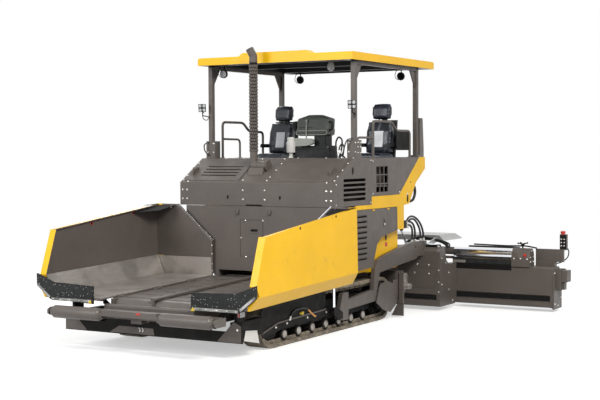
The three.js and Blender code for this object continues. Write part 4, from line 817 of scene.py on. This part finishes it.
# ------------------------------------------------------------------ push rollers and front end
def push_roller(side, sign):
    k = Kit("grey_paint", sign)
    steps = [
        (0, 0.020), (0.026, 0.020), (0.026, 0.050), (0.034, 0.054), (0.048, 0.066), (0.056, 0.0775),
        (0.062, 0.0785), (0.740, 0.0785), (0.746, 0.0775), (0.756, 0.064), (0.775, 0.054), (0.788, 0.052),
        (0.788, 0.036), (0.806, 0.036), (0.814, 0.020), (0.840, 0.020),
    ]
    k.profile((414, -2790, 480), X * sign, steps, 40)
    roller = k.make(f"push_roller_turned_{side}", f"push_roller_{side}", "worn_steel")
    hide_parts(f"push_roller_{side}")


for side, sign in SIDES:
    push_roller(side, sign)


def front_trim():
    k = Kit("red_plastic")
    k.box(118, 182, -2834, -2829, 515, 538, 2)
    k.make("push_beam_trim", "push_beam", "grey_paint")

    k = Kit("grey_paint")
    # Grey plates on the black skirt front show its own grey-brown where light falls, between painted shadow: the lit
    # end facet of its slight bend and a sunlit patch between the push rollers' shadows.
    for side, sign in SIDES:
        outline = [(995, 222), (1222, 452), (1322, 405), (1322, 208), (995, 208)]
        k.plate([(x * sign, SKIRT_FRONT, z) for x, z in outline], -Y, 0.006, 0.001)
    k.plate([(x, SKIRT_FRONT, z) for x, z in ((-625, 212), (-475, 300), (50, 296), (65, 212))], -Y, 0.005, 0.001)
    k.use("zinc")
    for x in (-150, -105):
        k.hose([(x - 26, -2403, 288), (x, -2412, 290), (x + 8, -2412, 262), (x - 12, -2404, 244)], 0.006)
    for x in (-1270, 1270):
        k.bolt((x, -2406, 360), -Y, 0.012)
    for side, sign in SIDES:
        k.sign = sign
        # The black block above each track nose is painted shadow under the wing front; the labels sit on its face.
        k.use("black_paint").box(1206, 1246, -2372, -2190, 438, 562, 3)
        k.use("paper").label(1246.5, -2310, -2204, 492, 552)
        k.use("red_plastic").label(1246.5, -2362, -2322, 500, 545)
        k.use("white_plastic")
        k.plate([(1251, -2200, 326), (1251, -1945, 300), (1296, -1965, 150), (1306, -2320, 222)],
                X * sign, 0.003, 0.001)
    k.make("skirt_trim", "chassis", "black_paint")


front_trim()


# ------------------------------------------------------------------ tracks
def track_at(distance, inset):
    """(y, z, direction) on the track loop, inset from its outer face, all in millimetres."""
    run, arc, r = TRACK_REAR - TRACK_FRONT, math.pi * TRACK_R, TRACK_R - inset
    s = distance % (2 * run + 2 * arc)
    if s < run:
        return TRACK_FRONT + s, inset, 0.0
    s -= run
    if s < arc:
        turn = -math.pi / 2 + s / TRACK_R
        return TRACK_REAR + r * math.cos(turn), TRACK_R + r * math.sin(turn), turn + math.pi / 2
    s -= arc
    if s < run:
        return TRACK_REAR - s, TRACK_R + r, math.pi
    s -= run
    turn = math.pi / 2 + s / TRACK_R
    return TRACK_FRONT + r * math.cos(turn), TRACK_R + r * math.sin(turn), turn + math.pi / 2


def track_detail(side, sign):
    loop = 2 * (TRACK_REAR - TRACK_FRONT) + 2 * math.pi * TRACK_R
    pitch = loop / SHOES
    k = Kit("track_steel", sign)
    for i in range(SHOES):
        y, z, turn = track_at((i + 0.45) * pitch, 0)
        along, inward = turned(Y, Z, turn), turned(Z, -Y, turn)
        centre = at(TRACK_MIDDLE * sign, y, z)

        def slab(x0, x1, a0, a1, d0, d1, bevel=0.002):
            flat = [(x0, a0), (x1, a0), (x1, a1), (x0, a1)]
            k.hexa([
                centre + X * (x - TRACK_MIDDLE) / 1000 * sign + along * a / 1000 + inward * d / 1000
                for d in (d0, d1) for x, a in flat
            ], bevel)

        slab(1142, 1149.5, -56, 44, 4, 22)
        slab(845, 852, -56, 44, 4, 22)
        for x in (1085, 895):
            slab(x - 9, x + 9, -62, 62, 48.5, 92)
            spot = centre + X * (x - TRACK_MIDDLE) / 1000 * sign + inward * 0.07
            k.rod(spot - X * 0.014 + along * 0.05, spot + X * 0.014 + along * 0.05, 0.014, 10)
        for x in (1040, 1125, 870, 955):
            spot = centre + X * (x - TRACK_MIDDLE) / 1000 * sign + along * -0.01 + inward * 0.0485
            k.bolt(spot, inward, 0.010)
    k.make(f"track_chain_{side}", "chassis", "track_steel")

    k = Kit("worn_steel", sign)
    for y in (-1060, -700, -340, 20, 380, 740, 1100):
        k.profile((1100, y, 128.3), X * sign, [(-0.002, 0.05), (0.012, 0.05), (0.018, 0.042), (0.024, 0.02)], 20)
    k.use("black_paint")
    teeth = 17
    for i in range(teeth):
        angle = math.tau * i / teeth
        out, flank = turned(Y, Z, angle), turned(Z, -Y, angle)
        hub = at(0, TRACK_REAR, TRACK_R)
        corners = []
        for x in (1056, 1076):
            for r, w in ((0.205, 0.030), (0.205, -0.030), (0.252, -0.010), (0.252, 0.010)):
                corners.append(hub + X * x / 1000 * sign + out * r + flank * w)
        k.hexa(corners, 0.002)
    k.profile((1125, TRACK_REAR, TRACK_R), X * sign, [(-0.01, 0.15), (0.004, 0.15), (0.012, 0.14), (0.016, 0.05)], 28)
    k.use("zinc")
    for spot in circle(at(1129 * sign, TRACK_REAR, TRACK_R), 0.122, Y, Z, 10):
        k.bolt(spot, X * sign, 0.010)
    for y, z in ((-1350, 255), (-1080, 275), (-560, 285), (-60, 300)):
        k.bolt((COVER_FACE, y, z), X * sign, 0.012)
    for y in (-1430, -800, -150):
        k.bolt((COVER_FACE, y, 610), X * sign, 0.009)
    k.use("grey_paint")
    k.side_plate(COVER_FACE, [
        (-1690, 226), (-1312, 316), (-994, 328), (-82, 352), (-82, 332), (-994, 308), (-1312, 296), (-1690, 206),
    ], 0.014, 0.002)
    k.use("hose_rubber")
    k.hose([(1165, y, z) for y, z in (
        (-1030, 312), (-1000, 360), (-915, 415), (-725, 428), (-590, 405), (-530, 375),
    )], 0.012, 10)
    k.use("copper")
    k.hose([(1166, y, z) for y, z in ((-560, 392), (-490, 345), (-400, 292), (-365, 282))], 0.013, 10)
    k.use("zinc").hose([(1166, y, z) for y, z in ((-1032, 305), (-1020, 335), (-1008, 352))], 0.016, 10)
    k.use("yellow_clip")
    k.rod((COVER_FACE, -725, 362), (1185, -725, 362), 0.024, 16)
    k.box(COVER_FACE, COVER_FACE + 19, -772, -678, 350, 376, 3)
    k.make(f"track_side_trim_{side}", "chassis", "black_paint")


for side, sign in SIDES:
    track_detail(side, sign)


# ------------------------------------------------------------------ rams
def ram_trim(side, sign):
    k = Kit("chrome_rod", sign)
    ram = (1203, 65)
    k.rod((*ram, 352), (*ram, 640), 0.0216, 24)
    k.use("black_paint")
    k.profile((*ram, 628), Z, [(0, 0.030), (0, 0.046), (0.03, 0.046), (0.032, 0.0447)], 28)
    k.sweep([(*ram, 655), (*ram, 1115)], 0.0447, 28)
    k.use("hose_rubber")
    k.hose([(1215, 105, 700), (1225, 150, 760), (1190, 180, 850), (1150, 190, 900)], 0.010)
    k.make(f"levelling_trim_{side}", "chassis", "black_paint")


for side, sign in SIDES:
    ram_trim(side, sign)


# ------------------------------------------------------------------ canopy, lamps and rails
def work_lamp(kit, centre, aim, size=0.045):
    aim = Vector(aim).normalized()
    across = aim.cross(Z).normalized()
    up = across.cross(aim)

    def at_lamp(a, u, f):
        return centre + across * a + up * u + aim * f

    kit.use("black_plastic")
    square = [(-1, -1), (1, -1), (1, 1), (-1, 1)]
    kit.hexa([at_lamp(a * half, u * half, f) for half, f in ((size * 0.8, -0.035), (size, 0.0)) for a, u in square],
             0.004)
    kit.use("lens")
    for a in (-0.5, 0.5):
        for u in (-0.5, 0.5):
            kit.profile(at_lamp(a * size, u * size, -0.001), aim, [(0, size * 0.4), (0.004, size * 0.36)], 14)
    return at_lamp(0, -size, -0.02)


def canopy_trim():
    k = Kit("grey_paint")
    for sign in (1, -1):
        lamp = at(1215 if sign > 0 else -1262, 580, 3080)
        foot = work_lamp(k, lamp, (0.25, -1, -0.12), 0.060)
        k.use("black_paint")
        k.hose([foot, foot + Vector((0, 0, -0.05)), (1225 * sign, 640, 2960), (1195 * sign, 690, 2945)], 0.008, 8)
        k.use("hose_rubber")
        loop = [(1240, 600, 3030), (1262, 590, 2980), (1255, 610, 2920), (1215, 640, 2905), (1200, 672, 2960)]
        k.hose([(x * sign, y, z) for x, y, z in loop], 0.006, 8)
    for x, y, sign in ((-1060, 860, -1), (-945, 2900, -1), (845, 2900, 1)):
        k.use("black_plastic")
        spot = at(x, y, 3585)
        k.profile(spot, Vector((0, -1, -0.2)), [
            (-0.04, 0.02), (-0.035, 0.045), (-0.01, 0.062), (0.012, 0.064), (0.02, 0.056)], 24)
        # The rear lamps get matte black faces: painted shade over their lenses under the roof.
        k.use("lens" if y < 1000 else "matte_black_and_painted_shade")
        k.profile(spot, Vector((0, -1, -0.2)), [(0.0195, 0.052), (0.024, 0.046)], 20)
        k.use("black_paint").rod(spot + Y * 0.01, (x, y + 10, 3702), 0.008, 10)
        k.use("hose_rubber")
        k.hose([spot + Y * 0.03, spot + Vector((-0.06, 0.03, -0.05)), spot + Vector((-0.11, 0.02, 0.0)),
                spot + Vector((-0.09, 0.02, 0.08)), spot + Vector((-0.03, 0.02, 0.11))], 0.005, 8)
    k.use("white_plastic")
    k.profile((550, 1200, 3715), -Z, [(0, 0.03), (0.02, 0.045), (0.06, 0.052), (0.10, 0.05), (0.11, 0.03)], 24)
    k.use("lens").profile((550, 1200, 3607), -Z, [(0, 0.034), (0.018, 0.024)], 20)
    k.use("zinc")
    for x, y in ((-1180, 700), (1180, 700), (1180, 2650), (-1180, 2650)):
        k.rod((x, y, 3799), (x, y, 3822), 0.008, 10)
    k.use("black_paint")
    for sign in (1, -1):
        for y in (710, 2710):
            k.box(1145 * sign, 1215 * sign, y - 36, y + 36, 3676, 3689, 2)
        for z in (2420, 2500, 2560):
            for y in (690, 770):
                k.use("zinc").bolt((1249 * sign, y, z), X * sign, 0.009)
        for x in (1120, 1225):
            for z in (2430, 2560):
                k.use("zinc").bolt((x * sign, 665, z), -Y, 0.008)
        k.use("black_paint")
    k.make("canopy_trim", "chassis", "black_paint")


canopy_trim()


def smooth_rail(paths):
    """Tubes bent round their corners, with a foot where one meets the platform."""
    k = Kit("grey_paint")
    for radius, corners in paths:
        corners = [at(*c) for c in corners]
        points = [corners[0]]
        for before, corner, after in zip(corners, corners[1:], corners[2:]):
            into = corner + (before - corner).normalized() * 0.07
            away = corner + (after - corner).normalized() * 0.07
            for i in range(9):
                t = i / 8
                points.append(into * (1 - t) ** 2 + corner * 2 * t * (1 - t) + away * t * t)
        points.append(corners[-1])
        k.sweep(points, radius, 16)
        for foot in (corners[0], corners[-1]):
            if abs(foot.z * 1000 - PLATFORM_TOP) < 2:
                k.profile(foot, Z, [(0, 0.036), (0.006, 0.036), (0.008, 0.034)], 20)
    return k


k = smooth_rail([
    (0.019, [(RAIL_X, 1345, PLATFORM_TOP), (RAIL_X, 1345, 2865), (RAIL_X, 1935, 2865), (RAIL_X, 2110, 2738),
             (RAIL_X, 2560, 2738), (RAIL_X, 2560, PLATFORM_TOP)]),
    (0.016, [(RAIL_X, 1345, 2630), (RAIL_X, 862, 2630), (RAIL_X, 862, PLATFORM_TOP)]),
])
k.use("black_paint").box(RAIL_X - 3, RAIL_X + 3, 2108, 2556, 2450, 2724, 1)
rail = k.make("handrail_tube_left", "chassis", "black_paint")
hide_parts("handrail_left")
k = smooth_rail([
    (0.019, [(-RAIL_X, 950, PLATFORM_TOP), (-RAIL_X, 950, 2878), (-RAIL_X, 1509, 2878), (-RAIL_X, 1678, 2748),
             (-RAIL_X, 2080, 2740), (-RAIL_X, 2080, PLATFORM_TOP)]),
    (0.016, [(-RAIL_X, 950, 2629), (-RAIL_X, 1419, 2623), (-RAIL_X, 1419, PLATFORM_TOP)]),
])
rail = k.make("handrail_tube_right", "chassis", "black_paint")
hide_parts("handrail_right")


def hood_top_trim():
    k = Kit("white_plastic")
    steps = [(0, 0.034), (0.006, 0.040), (0.02, 0.026), (0.07, 0.026), (0.078, 0.060), (0.09, 0.064), (0.225, 0.064),
             (0.232, 0.052), (0.288, 0.052), (0.298, 0.044), (0.30, 0.03)]
    k.profile((56, 900, HOOD_TOP), Z, steps, 28)
    k.use("hose_rubber")
    k.hose([(95, 900, 2400), (150, 880, 2380), (230, 870, 2358), (330, 880, 2356)], 0.008)
    k.hose(((975, 600, 2352), (955, 600, 2480), (960, 600, 2580), (1002, 600, 2634),
                             (1050, 600, 2590), (1040, 602, 2470), (1000, 604, 2352)), 0.012)
    k.hose(((1010, 610, 2352), (1060, 610, 2420), (1075, 610, 2500), (1040, 612, 2540),
                             (1000, 612, 2480), (1020, 612, 2400), (1080, 640, 2352)), 0.010)
    k.hose(((1060, 606, 2352), (1090, 606, 2520), (1130, 620, 2600), (1170, 664, 2610)), 0.009)
    k.use("zinc").profile((1018, 596, 2430), -Y, [(0, 0.024), (0.006, 0.024), (0.01, 0.016)], 16)
    k.use("hose_rubber")
    k.hose(((-1190, 655, 2380), (-1235, 610, 2450), (-1240, 600, 2540), (-1200, 660, 2580)), 0.009)
    k.make("hood_top_trim", "chassis", "black_paint")


hood_top_trim()


# ------------------------------------------------------------------ seats
def pad_solid(name, sections):
    """A closed block through sections, each a ring of points in millimetres."""
    part = bmesh.new()
    loft(part, [[part.verts.new(at(*corner)) for corner in ring] for ring in sections])
    data = bpy.data.meshes.new(name)
    part.to_mesh(data)
    part.free()
    return link(name, data)


def inflate(pad, cap, voxel=0.010, pressure=4.0):
    """Swells the pad as stuffed cloth, and limits how far any point may move."""
    bpy.context.view_layer.objects.active = pad
    bpy.ops.object.select_all(action="DESELECT")
    pad.select_set(True)
    remesh = pad.modifiers.new("even", "REMESH")
    remesh.mode = "VOXEL"
    remesh.voxel_size = voxel
    bpy.ops.object.modifier_apply(modifier=remesh.name)
    start = [v.co.copy() for v in pad.data.vertices]
    cloth = pad.modifiers.new("cloth", "CLOTH")
    cloth.settings.use_pressure = True
    cloth.settings.uniform_pressure_force = pressure
    cloth.settings.effector_weights.gravity = 0
    cloth.settings.quality = 4
    for step in range(1, 16):
        bpy.context.scene.frame_set(step)
    bpy.ops.object.modifier_apply(modifier=cloth.name)
    bpy.context.scene.frame_set(1)
    for vertex, rest in zip(pad.data.vertices, start):
        move = vertex.co - rest
        if move.length > cap:
            vertex.co = rest + move * (cap / move.length)
    soften = pad.modifiers.new("soften", "SMOOTH")
    soften.iterations = 4
    bpy.ops.object.modifier_apply(modifier=soften.name)
    pad.data.materials.clear()
    pad.data.materials.append(M["cushion"])
    for polygon in pad.data.polygons:
        polygon.use_smooth = True


def rect(x, half, y0, y1, z):
    """A level rectangle as one section of a pad."""
    return [(x - half, y0, z), (x + half, y0, z), (x + half, y1, z), (x - half, y1, z)]


def seat(side, x):
    squab = pad_solid(f"seat_squab_{side}", [
        rect(x, 214, 1780, 2190, 2300), rect(x, 234, 1762, 2196, 2330), rect(x, 232, 1764, 2194, 2375),
        rect(x, 208, 1790, 2186, 2398)])
    back = pad_solid(f"seat_back_{side}", [
        rect(x, 205, 2114, 2222, 2402), rect(x, 216, 2112, 2232, 2540), rect(x, 216, 2146, 2262, 2730),
        rect(x, 188, 2190, 2292, 2884)])
    head = pad_solid(f"seat_head_{side}", [
        rect(x, 128, 2206, 2300, 2916), rect(x, 146, 2208, 2312, 2985), rect(x, 146, 2222, 2322, 3085),
        rect(x, 120, 2250, 2330, 3140)])
    for pad, cap in ((squab, 0.013), (back, 0.013), (head, 0.009)):
        inflate(pad, cap)
        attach(pad, "chassis")
    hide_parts(f"seat_cushion_{side}")
    k = Kit("paper")
    lean = (at(x, 2146, 2730) - at(x, 2112, 2540)).normalized()
    low = at(x + 10, 2090, 2500)
    width, height = X * 0.075, lean * 0.24
    k.plate([low - width, low + width, low + width + height, low - width + height], -Y, 0.0015)
    k.use("black_plastic")
    for dx in (-45, 45):
        k.rod((x + dx, 2248, 2850), (x + dx, 2262, 2940), 0.008, 12)
    for sign in (-1, 1):
        k.box(x + sign * 233 - 11, x + sign * 233 + 11, 1935, 2262, 2544, 2556, 4)
    k.use("hose_rubber").hose([(x - 246, 2100, 2300), (x - 248, 2060, 2350), (x - 246, 2010, 2300)], 0.008)
    k.make(f"seat_trim_{side}", "chassis", "black_plastic")


for side, x in (("left", 840), ("right", -862)):
    seat(side, x)


def console():
    """The covered instrument desk on its post, with its lever, side grips and armrest panel."""
    k = Kit("grey_plastic")
    x = 35
    hood = [
        (2668, 230, 1556, 1790), (2690, 262, 1540, 1800), (2760, 268, 1530, 1800), (2772, 262, 1538, 1796),
        (2905, 268, 1560, 1800), (2925, 258, 1572, 1796), (2972, 112, 1596, 1770), (2978, 100, 1604, 1760),
    ]
    part = bmesh.new()
    rings = []
    for z, half, front, back in hood:
        ease = min(30, half * 0.3)
        loop = [(-half, front + ease), (-half + ease, front), (half - ease, front), (half, front + ease),
                (half, back - ease), (half - ease, back), (-half + ease, back), (-half, back - ease)]
        rings.append([part.verts.new(at(x + dx, y, z)) for dx, y in loop])
    loft(part, rings)
    k.merge(part)
    k.box(x - 226, x + 10, 1524, 1536, 2792, 2798, 1)
    k.use("light_plastic")
    for z in (2684, 2744):
        k.sweep([(x - 250, 1534, z), (x + 246, 1534, z)], 0.0055, 10)
    for end, bulge in ((x - 250, x - 262), (x + 246, x + 262)):
        k.sweep([(end, 1534, 2744), (bulge, 1536, 2714), (end, 1534, 2684)], 0.0055, 10)
    k.sweep([(-43, 1520, 2600), (-43, 1516, 2760), (-43, 1530, 2885)], [0.011, 0.009, 0.007], 12)
    k.profile((-43, 1530, 2880), Z, [(0, 0.010), (0.008, 0.016), (0.022, 0.016), (0.03, 0.006)], 14)
    k.plate(((-212, 1452, 2636), (70, 1452, 2628), (104, 1452, 2606), (108, 1452, 2560),
                              (84, 1452, 2536), (-10, 1452, 2516), (-212, 1452, 2512)), Y, 0.055, 0.006)
    k.use("black_plastic")
    k.box(-180, -80, 1506, 1560, 2560, 2600, 4)
    for side in (-1, 1):
        grip = x + side * 318
        k.hose([(x + side * 262, 1600, 2872), (grip, 1580, 2868), (grip + side * 24, 1570, 2820),
                (grip, 1580, 2764), (x + side * 262, 1600, 2752)], 0.016, 12)
        k.box(grip - 14, grip + 14, 1566, 1600, 2770, 2864, 8)
    k.box(62, 262, 1560, 1760, 2500, 2672, 8)
    k.box(-238, 340, 1546, 1776, 1962, 2523, 10)
    for z in (2120, 2320, 2470):
        k.box(-232, 334, 1543, 1550, z, z + 4, 0.5)
    k.bolts([(x + dx, 1546, 2500) for dx in (-200, 270)], -Y, 0.006)
    desk = k.make("console_desk", "chassis", "black_plastic")
    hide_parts("control_console")


console()


# ------------------------------------------------------------------ screed
def screed_trim():
    k = Kit("grey_paint")
    front = SCREED_FRONT
    x0, x1 = 1040, 1430
    for side, sign in SIDES:
        k.sign = sign
        for a, b, c, d in ((x0, x1, 345, 351), (x0, x1, 650, 656), (x0, x0 + 6, 345, 656), (x1 - 6, x1, 345, 656)):
            k.box(a, b, front - 4, front + 1, c, d, 1)
        k.use("zinc")
        for x, z in ((1310, 700), (1315, 565), (1075, 570), (1475, 290), (1475, 620), (1475, 440), (1120, 700)):
            k.bolt((x, front, z), -Y, 0.010)
        for y, z in ((2960, 800), (3120, 720), (3230, 560), (3230, 300), (2960, 400), (3380, 120)):
            k.bolt((1500, y, z), X * sign, 0.010)
        # A matte black strip at the back of the front recess: painted shade in the recess.
        k.use("matte_black_and_painted_shade")
        k.box(20, 1436, front + 14, front + 24, 170, 230, 0)
        k.use("grey_paint")
        k.box(1384, 1494, 3292, 3548, 72, 596, 3)
        k.box(1384, 1494, 3292, 3538, 590, 690, 3)
        for x in (300, 600, 900):
            k.use("zinc").bolt((x, front, 780), -Y, 0.010)
            k.bolt((x, front, 330), -Y, 0.010)
        k.use("black_paint")
        k.box(1230, 1420, 2960, 3120, 965.5, 1000, 6)
        k.use("chrome_rod")
        k.rod((1250, 3000, 1010), (1400, 3060, 985), 0.014, 16)
        k.use("zinc")
        k.box(1380, 1440, 2972, 3010, 966, 992, 3)
        k.use("hose_rubber")
        for i, (dx, lift) in enumerate(((0, 60), (45, 85), (90, 70))):
            k.hose([(700 + dx, 3330, 1000), (900 + dx, 3360, 1000 + lift),
                    (1150 + dx, 3370, 1015 + lift * 0.5), (1350 + dx, 3350, 1000),
                    (1440 + dx * 0.3, 3330, 930)], 0.013)
        k.use("grey_paint")
    k.make("screed_trim", "screed", "grey_paint")


screed_trim()


def extension_trim(side, sign, guide_y):
    k = Kit("chrome_rod", sign)
    body = f"extension_{side}"
    clamp_x = 2545
    k.sweep([(1430, guide_y, 846), (2398, guide_y, 846)], 0.080, 48)
    k.sweep([(1505, guide_y, 762), (2398, guide_y, 762)], 0.0226, 24)
    # A matte black strip at the back of the front recess: painted shade in the recess.
    k.use("matte_black_and_painted_shade")
    front = EXTENSION_FRONT
    k.box(1440, 3000, front + 14, front + 24, 162, 230, 0)
    k.use("bright_steel")
    k.box(1424, 1640, front - 1, front + 3, 694, 736, 0.5)
    k.use("black_plastic")
    k.box(1424, 2392, front + 3, front + 9, 690, 764, 1)
    # A black band across the front face below the guide tubes: painted shadow of the tubes.
    k.use("black_paint")
    k.box(1424, 2396, front - 1, front + 2, 602, 692, 0.5)
    k.use("zinc")
    for x in (1500, 1900, 2300, 2700, 2960):
        k.bolt((x, 3900, 600), Y, 0.009)
    for y, z in ((3580, 590), (3850, 560), (3860, 200), (3580, 120), (3720, 600), (3720, 90)):
        k.bolt((3075, y, z), X * sign, 0.011)
    for y, z in ((guide_y - 70, 810), (guide_y, 905), (guide_y + 70, 810), (guide_y - 60, 740), (guide_y + 60, 740)):
        k.bolt((2690, y, z), X * sign, 0.011)
        k.bolt((2400, y, z), -X * sign, 0.011)
    for x in (2440, clamp_x, 2650):
        k.bolt((x, guide_y - 110, 790), -Y, 0.011)
    k.use("red_plastic")
    k.rod((2620, guide_y - 110, 845), (2620, guide_y - 122, 845), 0.024, 20)
    k.use("black_paint")
    k.rod((clamp_x, guide_y, 940), (clamp_x, guide_y, 1010), 0.012, 14)
    k.profile((clamp_x, guide_y, 985), Z, [(0, 0.022), (0.008, 0.026), (0.03, 0.026), (0.034, 0.02)], 18)
    for turn in range(4):
        angle = math.pi / 4 + math.pi * turn / 2
        out = Vector((math.cos(angle), math.sin(angle), 0.25))
        hub = at(clamp_x * sign, guide_y, 1003)
        k.rod(hub, hub + out * 0.075, 0.007, 10)
        k.profile(hub + out * 0.07, out, [(-0.012, 0.008), (0, 0.014), (0.014, 0.012), (0.02, 0.004)], 12)
    k.use("grey_paint")
    k.box(2682, 3114, 3838.5, 3901.5, 918, 927, 1.5)
    k.use("black_paint")
    k.box(3060, 3163, 3844, 3849, 935, 1150, 2)
    k.use("red_plastic")
    k.profile((3100, 3878, 1158), Z, [(0, 0.033), (0.018, 0.033), (0.026, 0.040), (0.042, 0.040), (0.049, 0.034)], 24)
    k.use("white_plastic")
    for row in range(3):
        for column in range(2):
            spot = at((3085 + column * 45) * sign, 3845, 985 + row * 50)
            k.profile(spot, -Y, [(0, 0.011), (0.006, 0.011), (0.009, 0.008)], 14)
    k.use("hose_rubber")
    k.hose([(3150, 3900, 960), (3175, 3925, 900), (3150, 3930, 800),
            (3040, 3915, 720), (2900, 3905, 700)], 0.009)
    k.hose([(2690, 3860, 935), (2500, 3870, 960), (2200, 3900, 952),
            (1900, 3910, 955), (1640, 3905, 960)], 0.012)
    k.use("black_plastic")
    k.box(1560, 2400, 3865, 3925, 915, 940, 4)
    k.make(f"extension_trim_{side}", body, "grey_paint")


for (side, sign), guide_y in zip(SIDES, (3640, 3780)):
    extension_trim(side, sign, guide_y)


# ------------------------------------------------------------------ hoses between the chassis and the screed
HOSE_PATHS = (
    ((2492, 1372), (2560, 1428), (2690, 1446), (2860, 1400), (3010, 1300), (3090, 1180), (3104, 1072)),
    ((2492, 1352), (2580, 1405), (2720, 1395), (2850, 1310), (2930, 1200), (2946, 1072)),
    ((2490, 1330), (2600, 1366), (2720, 1330), (2790, 1230), (2800, 1072)),
    ((2486, 1300), (2560, 1320), (2630, 1270), (2650, 1180), (2640, 1072)),
)


def screed_hoses(side, sign):
    for i, path in enumerate(HOSE_PATHS):
        k = Kit("hose_rubber", sign)
        x = 1127 + i % 2 * 24
        points = [at(x * sign, y, z) for y, z in path]
        k.hose(points, 0.0155, 12)
        k.use("zinc")
        k.rod(points[0] - Y * 0.05, points[0] + Y * 0.01, 0.020, 12)
        k.rod(points[-1] - Z * 0.045, points[-1] + Z * 0.02, 0.020, 12)
        hose = k.object(f"screed_hose_{side}_{i + 1}")
        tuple(points[0])
        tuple(points[-1])
        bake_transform(hose)
    k = Kit("black_plastic", sign)
    k.box(1060, 1154, 2380, 2450, 1280, 1400, 6)
    k.use("hose_rubber")
    k.hose([(1090, 2640, 2000), (1110, 2700, 1930), (1120, 2780, 1900), (1130, 2790, 1800),
            (1120, 2740, 1700), (1100, 2640, 1680), (1090, 2560, 1750)], 0.022, 12)
    k.use("black_plastic")
    k.box(1050, 1120, 2560, 2700, 1740, 1930, 10)
    k.box(1070, 1100, 2600, 2640, 1920, 2010, 3)
    k.make(f"rear_fittings_{side}", "chassis", "black_plastic")


for side, sign in SIDES:
    screed_hoses(side, sign)
